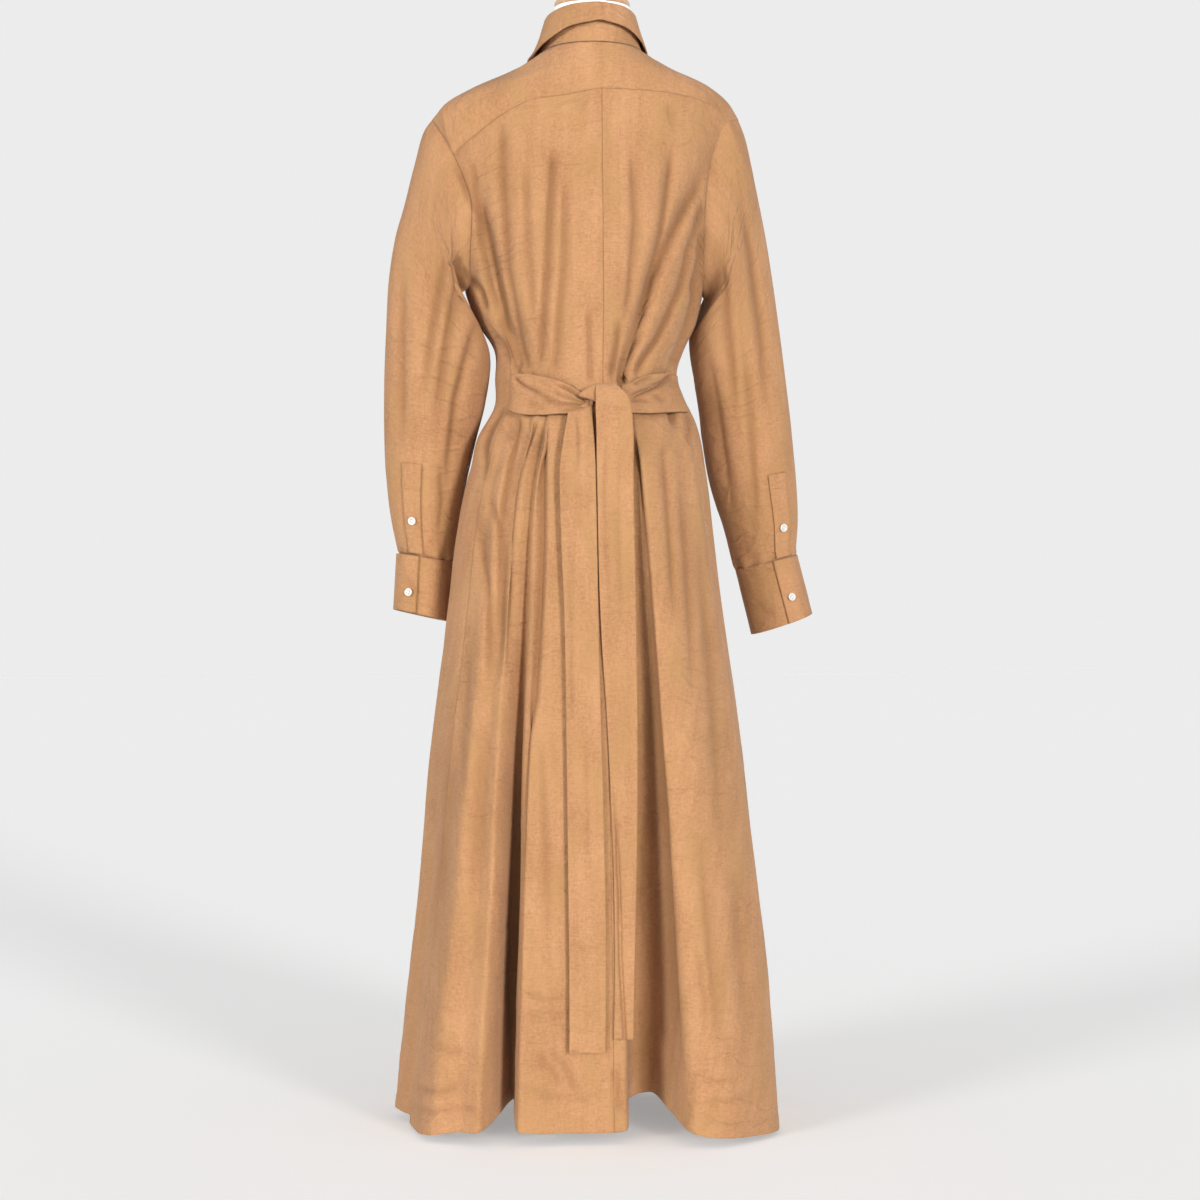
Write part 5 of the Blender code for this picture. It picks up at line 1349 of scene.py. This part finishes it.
def build_dress(linen, thread):
    """Backs, fronts, sleeves and yoke."""
    for side, word in SIDES:
        left = side > 0
        panels = (
            ("back", back_panel(side), dict(
                seed=3 + side, grain=0.0, folds=(60, 0.0006),
                tucked=("first", "high") if left else ("high",))),
            ("front", front_panel(side), dict(
                seed=13 + side, grain=1.0, folds=(110, 0.0012), pitch=(0.008, 0.0038),
                sewn=("first", "high"), tucked=("first",))),
        )
        for part, coarse, settings in panels:
            name = f"{part}_{word}"
            made, fine, out = dress_piece(f"{name}_cloth", coarse, linen, left, hem=True,
                                          **settings)
            edge = stitches(f"{name}_hem_stitches", [hem_line(fine, out)], thread)
        made, fine, out = dress_piece(f"sleeve_{word}_cloth", sleeve(side), linen, not left,
                                      ring=True, pitch=(0.0042, 0.0030), seed=23 + side,
                                      sewn=("low",), grain=0.25, folds=(80, 0.0011),
                                      tucked=("low", "high"))
    made, fine, out = dress_piece("yoke_cloth", both_halves(yoke_half), linen, True, seed=31,
                                  pitch=(0.0035, 0.003), sewn=("first", "last", "low"),
                                  folds=(40, 0.0005))
    lines = [inset(fine, out, edge, 0.0022) for edge in ("low", "first", "last")]
    stitches("yoke_stitches", lines, thread)


def hem_line(fine, out):
    """Line of the hem's stitching, at its height above the edge."""
    up = run_along(fine[:40])
    i = np.arange(fine.shape[1])
    row = np.array([np.interp(HEM_STITCH, up[:, k], np.arange(len(up))) for k in i])
    low = row.astype(int)
    t = (row - low)[:, None]
    return tuple(mix(grid[low, i], grid[low + 1, i], t) for grid in (fine, out))


BELT_CREASES = {
    1: (
        (2.4, 2, 3, 0.1, 0.3, 514, 377, 518, 382, 523, 386, 533, 391, 544, 396),
        (2.2, 5, 2, 0.3, 0.1, 534, 391, 548, 399, 560, 403, 575, 404, 592, 404),
        (2.7, 2, 4, 0.3, 0.1, 552, 383, 566, 389, 579, 397, 592, 402),
        (1.7, 2, 3, 0.3, 0.1, 548, 390, 562, 396, 578, 401, 592, 403),
        (-1.4, 3, 3, 0.3, 0.2, 540, 380, 556, 385, 572, 394, 586, 400),
        (1.7, 3, 4, 0.3, 0.1, 556, 411, 570, 409, 582, 406, 592, 405),
        (1.2, 4, 4, 0.4, 0.4, 520, 396, 532, 404, 548, 408),
    ),
    -1: (
        (3.7, 1.6, 5, 0.05, 0.1, 671, 374, 661, 382, 650, 388, 640, 392, 629, 397),
        (-1.5, 3, 3, 0.1, 0.2, 664, 376, 650, 381, 640, 386, 630, 391),
        (1.7, 3, 3, 0.3, 0.2, 655, 376, 643, 380, 632, 386),
        (1.4, 4, 4, 0.4, 0.4, 650, 394, 660, 398, 668, 402),
        (1.7, 2, 3, 0.1, 0.4, 630, 401, 640, 400, 652, 403),
    ),
}
TAIL_CREASES = {
    "under": (
        (1.2, 2, 3, 0.2, 0.5, 577, 415, 579, 435, 579, 455, 577, 480),
        (0.8, 3, 3, 0.3, 0.3, 571, 560, 572, 650, 574, 740),
        (0.7, 3, 3, 0.4, 0.4, 586, 700, 588, 800, 590, 900),
        (0.8, 2, 3, 0.2, 0.2, 571, 944, 588, 949, 606, 944),
        (0.6, 2, 2, 0.3, 0.3, 572, 1010, 590, 1013, 604, 1008),
        (0.5, 1.5, 1.5, 0.02, 0.02, 571, 1050, 588, 1052, 605, 1048),
    ),
    "over": (
        (3, 2.5, 1.5, 0.5, 0.01, 611, 760, 617, 830, 620, 900, 621, 960, 626, 1045),
        (0.8, 3, 3, 0.3, 0.3, 606, 420, 605, 500, 607, 600),
        (0.7, 3, 4, 0.3, 0.3, 620, 430, 619, 520, 621, 640),
        (0.6, 2, 2, 0.2, 0.2, 596, 406, 613, 407, 630, 409),
        (0.6, 2, 2, 0.3, 0.3, 597, 512, 612, 514, 628, 511),
        (0.7, 2, 2, 0.3, 0.3, 614, 925, 622, 930, 630, 922),
    ),
}
COLLAR_CREASES = (
    (0.6, 4, 4, 0.3, 0.3, 566, 34, 578, 24, 590, 20, 604, 25),
    (0.5, 4, 4, 0.3, 0.3, 548, 52, 556, 40, 563, 28),
)
CUFF_CREASES = (
    (0.5, 1.5, 1.5, 0.1, 0.1, 424, 570, 436, 571, 448, 570),
    (0.8, 5, 5, 0.3, 0.3, 396, 575, 410, 583, 424, 600),
    (0.5, 1.5, 1.5, 0.1, 0.1, 737, 577, 758, 573, 780, 568),
    (0.7, 5, 5, 0.3, 0.3, 752, 600, 765, 612, 778, 616),
)
PLACKET_CREASES = (
    (0.5, 1.2, 1.2, 0.05, 0.05, 405, 489, 414, 491, 425, 490),
)


def build_trim(linen, thread):
    """Collar, cuffs, plackets, band, belt and its tails."""
    trim_piece("collar_stand", both_halves(stand_half), linen, thread,
               ("low",), 0.004, flip=True, pitch=(0.002, 0.003), seed=41)
    trim_piece("collar_leaf", both_halves(leaf_half), linen, thread,
               ("high", "first", "last"), 0.005,
               pitch=(0.002, 0.003), creases=COLLAR_CREASES, seed=42, fine_folds=0.0004)
    trim_piece("front_band", band(), linen, thread,
               ("first", "last"), 0.005,
               pitch=(0.006, 0.002), seed=43, wall=0.0014)
    for side, word in SIDES:
        left = side > 0
        trim_piece(f"cuff_{word}", cuff(side), linen, thread,
                   ("low", "high", "first"), 0.004, flip=left, creases=CUFF_CREASES,
                   seed=45 + side)
        trim_piece(f"sleeve_placket_{word}", placket(side), linen, thread,
                   ("first", "last", "high"), 0.002, flip=left,
                   creases=PLACKET_CREASES, seed=48 + side, pitch=(0.003, 0.002), wall=0.0012)
        trim_piece(f"belt_{word}", belt_piece(side), linen, thread,
                   flip=not left, creases=BELT_CREASES[side],
                   seed=51 + side, pitch=(0.0015, 0.0018), lift=0.0014, fine_folds=0.0003,
                   wall=0.0024)
    panels = {side: back_panel(side) for side, _ in SIDES}
    middle = body_point(1, 0.0, KNOT[1])[1] + KNOT[2]
    knot = [knot_piece(linen, middle), wrap_piece(linen, middle)]
    for word, grid, seed, lift, wall, parts in (
            ("under", tail_under(panels), 54, 0.0016, 0.002, []),
            ("over", tail_over(panels), 55, 0.0007, 0.0009, knot)):
        trim_piece(f"belt_tail_{word}", grid, linen, thread,
                   parts=parts, seed=seed,
                   creases=TAIL_CREASES[word], pitch=(0.004, 0.0018), lift=lift, wall=wall)


def knot_piece(linen, middle):
    """Knot under the upper tail: cloth wrapped into a round, ridged lump."""
    x, level, _ = KNOT
    turn = full_turn(48)
    rows = []
    for tilt in np.linspace(-1.35, 1.35, 25):
        ridge = 1 + 0.05 * np.cos(5 * turn + 3 * tilt)
        rows.append(np.stack((x + KNOT_SIZE[0] * math.cos(tilt) * np.cos(turn) * ridge,
                              middle + KNOT_SIZE[1] * math.cos(tilt) * np.sin(turn) * ridge,
                              np.full(48, level + KNOT_SIZE[2] * math.sin(tilt))), axis=-1))
    made = shell("belt_knot_cloth", np.array(rows), linen, LAYER, ring=True)
    stands_for(made, ["belt_knot"])
    return made


def wrap_piece(linen, middle):
    """Short fold of the lower tail that shows beside the knot, pointed at its left."""
    rows = []
    turn = full_turn(24)
    for t in np.linspace(0.0, 1.0, 13):
        tall = 0.0100 * max(t, 0.004) ** 0.75
        thick = 0.0030 * max(t, 0.004) ** 0.45
        wave = 1 + 0.16 * np.cos(3 * turn + 4 * t)
        rows.append(np.stack((np.full(24, mix(*WRAP_X, t)),
                              middle + mix(*WRAP_OUT, t) + thick * np.cos(turn) * wave,
                              mix(*WRAP_Z, t) + tall * np.sin(turn) * wave), axis=-1))
    made = shell("belt_wrap_cloth", np.array(rows), linen, LAYER, ring=True)
    stands_for(made)
    return made


def place_button(name, point, normal, pearl, dark, thread_lines):
    """Turned button with a rim and a dished middle, with its thread and dark discs of painted
    shade for its holes.
    """
    axis = Vector(normal).normalized()
    across = axis.orthogonal().normalized()
    axis, across, along = (np.array(v) for v in (axis, across, axis.cross(across)))
    base = np.array(point) + axis * 1.3 * LAID

    def ring(count):
        turn = full_turn(count)
        return np.outer(np.cos(turn), across) + np.outer(np.sin(turn), along)

    rows = [base + BUTTON_RADIUS * radius * ring(32) + axis * BUTTON_THICK * height
            for radius, height in BUTTON_PROFILE]
    stands_for(loft(f"{name}_turned", rows, pearl), [name])
    top = base + axis * BUTTON_THICK * BUTTON_DISH
    apart = HOLE_APART * BUTTON_RADIUS
    holes = [top + apart * (a * across + b * along)
             for a, b in ((1, 1), (1, -1), (-1, -1), (-1, 1))]
    for a, b in ((0, 2), (1, 3)):
        path = top + THREAD_REACH * (np.array((holes[a], holes[b])) - top)
        thread_lines.append((path, np.array((axis, axis))))
    # discs of painted shade over the holes
    dark.extend((hole + HOLE_RADIUS * ring(12) + HOLE_LIFT * axis) for hole in holes)


def loft(name, rows, material):
    """Closed object through rings of points, with flat ends."""
    rows = np.array(rows)
    number = np.arange(rows[..., 0].size).reshape(rows.shape[:2])
    follow = np.roll(number, -1, axis=1)
    faces = np.stack((number[:-1], follow[:-1], follow[1:], number[1:]), axis=-1).reshape(-1, 4)
    ends = [number[0][::-1].tolist(), number[-1].tolist()]
    return mesh_object(name, rows, faces.tolist() + ends, material, sharp=50.0)


def build_buttons(pearl, hole, pale):
    """Buttons of the front, the plackets and the cuffs, each facing away from the cloth."""
    sewing, dark = [], []
    strip = band()
    spots = [(f"front_{number:02d}", strip, 2, height, None) for number, height in
             enumerate(np.linspace(1.268, 0.250, FRONT_BUTTONS), 1)]
    for side, word in SIDES:
        grids = (("placket", placket(side), 2), ("cuff", cuff(side), 1))
        spots += [(f"{part}_{word}", grid, column, height, np.array(WRIST[side]))
                  for (part, grid, column), height in zip(grids, SLEEVE_BUTTONS[side])]
    for name, grid, column, height, middle in spots:
        row = np.interp(height, grid[:, column, 2], np.arange(len(grid)))
        point, normal = surface(grid, row, column)
        away = -normal[1] if middle is None else normal @ (point - middle)
        place_button(f"button_{name}", point, normal if away > 0 else -normal, pearl, dark,
                     sewing)
    stitches("button_threads", sewing, pale, pitch=0.0059, thick=0.0003)
    rings = np.array(dark)
    number = np.arange(rings[..., 0].size).reshape(rings.shape[:2])
    # one mesh of the painted-shade discs over all the buttons' holes
    stands_for(mesh_object("button_hole_shade_discs", rings, number.tolist(), hole), ())


def ellipse(x, y, height):
    """Level ring from its x and y, all at one height."""
    return np.stack((x, y, np.full(len(x), height)), axis=-1)


def build_form(jersey, beech, steel):
    """Finer torso, cap, pole and plate in the place of the plain ones."""
    turn = full_turn(96)
    floor, crown = FORM[(0, -1), 0]
    rows = []
    heights = np.concatenate((floor + np.array((0.0, 0.002, 0.006)),
                              np.linspace(floor + 0.012, crown, 70)))
    for height in heights:
        half, back, front, middle = (read(FORM, column, height) for column in (1, 2, 3, 4))
        inward = 0.006 * (1 - ease((height - floor) / 0.006))
        depth = np.where(np.sin(turn) > 0, back - middle, middle - front) - inward
        rows.append(ellipse((half - inward) * np.cos(turn), middle + depth * np.sin(turn),
                            height))
    stands_for(loft("form_torso_jersey", rows, jersey), ["form_torso"])
    low, radius = crown + SEAM, FORM[-1, 1]
    dome = CAP_TOP - low - CAP_EDGE
    profile = [(radius - 0.0015, low), (radius, low + 0.0015), (radius, low + CAP_EDGE)]
    profile += [(radius * math.cos(a), low + CAP_EDGE + dome * math.sin(a))
                for a in np.radians(np.linspace(6.0, 86.0, 17))]
    stands_for(turned("form_cap_wood", profile, FORM[-1, 4], beech), ["form_cap"])
    foot, head = BASE_THICK + SEAM, floor - SEAM
    profile = [(POLE_RADIUS, foot)] + [(POLE_RADIUS, mix(foot, head, t)) for t in (0.3, 0.6, 1.0)]
    stands_for(turned("form_pole_tube", profile, 0.0, steel), ["form_pole"])
    x, y, half, depth = BASE
    rows = [ellipse(x + (half - lower) * np.cos(turn), y + (depth - lower) * np.sin(turn), height)
            for lower, height in ((0.0015, 0.0), (0.0004, 0.0006), (0.0, 0.0018),
                                  (0.0, BASE_THICK - 0.003), (0.0008, BASE_THICK - 0.001),
                                  (0.0026, BASE_THICK))]
    stands_for(loft("form_base_plate", rows, steel), ["form_base"])


def turned(name, profile, y, material):
    """Round piece about an upright axis, from radii and heights."""
    turn = full_turn(96)
    rows = [ellipse(radius * np.cos(turn), y + radius * np.sin(turn), height)
            for radius, height in profile]
    return loft(name, rows, material)


# ---- studio
def build_studio():
    """Backdrop, floor, two lights and the camera of the photograph."""
    bpy.context.scene.view_settings.view_transform = "Standard"
    world = bpy.data.worlds.new("studio")
    bpy.context.scene.world = world
    world.use_nodes = True
    tree = world.node_tree
    axes = node(tree, "ShaderNodeSeparateXYZ",
                {0: tree.nodes.new("ShaderNodeTexCoord").outputs["Generated"]})
    overhead = node(tree, "ShaderNodeMapRange", {"Value": axes.outputs[2], "From Min": OVERHEAD[0],
                                                 "From Max": OVERHEAD[1], "To Min": SKY,
                                                 "To Max": OVERHEAD[2] * SKY})
    background = tree.nodes["Background"]
    tree.links.new(overhead.outputs[0], background.inputs["Color"])
    background.inputs["Strength"].default_value = 1.0
    bpy.ops.mesh.primitive_plane_add(size=FLOOR_SIZE, location=(0.0, 0.0, -FLOOR_DROP))
    floor = bpy.context.object
    floor.name = "floor"
    material, _, _ = blank("pale_floor", 0.9, Base_Color=FLOOR, Specular_IOR_Level=0.0,
                           Emission_Color=(1.0, 1.0, 1.0, 1.0), Emission_Strength=GLOW)
    floor.data.materials.append(material)
    for name, energy, angle, away in LIGHTS:
        lamp = bpy.data.lights.new(name, "SUN")
        lamp.energy = energy
        lamp.angle = math.radians(angle)
        linked(name, lamp).rotation_euler = Vector(away).to_track_quat("Z", "Y").to_euler()
    camera = bpy.data.cameras.new("camera")
    camera.sensor_width = SENSOR
    camera.lens = FOCUS / FRAME * SENSOR
    made = linked("camera", camera)
    made.location = EYE
    made.rotation_euler = Vector(AWAY).to_track_quat("Z", "Y").to_euler()
    bpy.context.scene.camera = made


def main():
    linen = linen_material("linen_weave")
    thread, pearl, pale, hole, jersey, beech, steel = (
        solid_material(name, dark, light, roughness, scale, **others)
        for name, dark, light, roughness, scale, others in LOOKS)
    build_dress(linen, thread)
    build_trim(linen, thread)
    build_buttons(pearl, hole, pale)
    build_form(jersey, beech, steel)
    build_studio()


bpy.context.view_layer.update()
main()
bpy.context.view_layer.update()
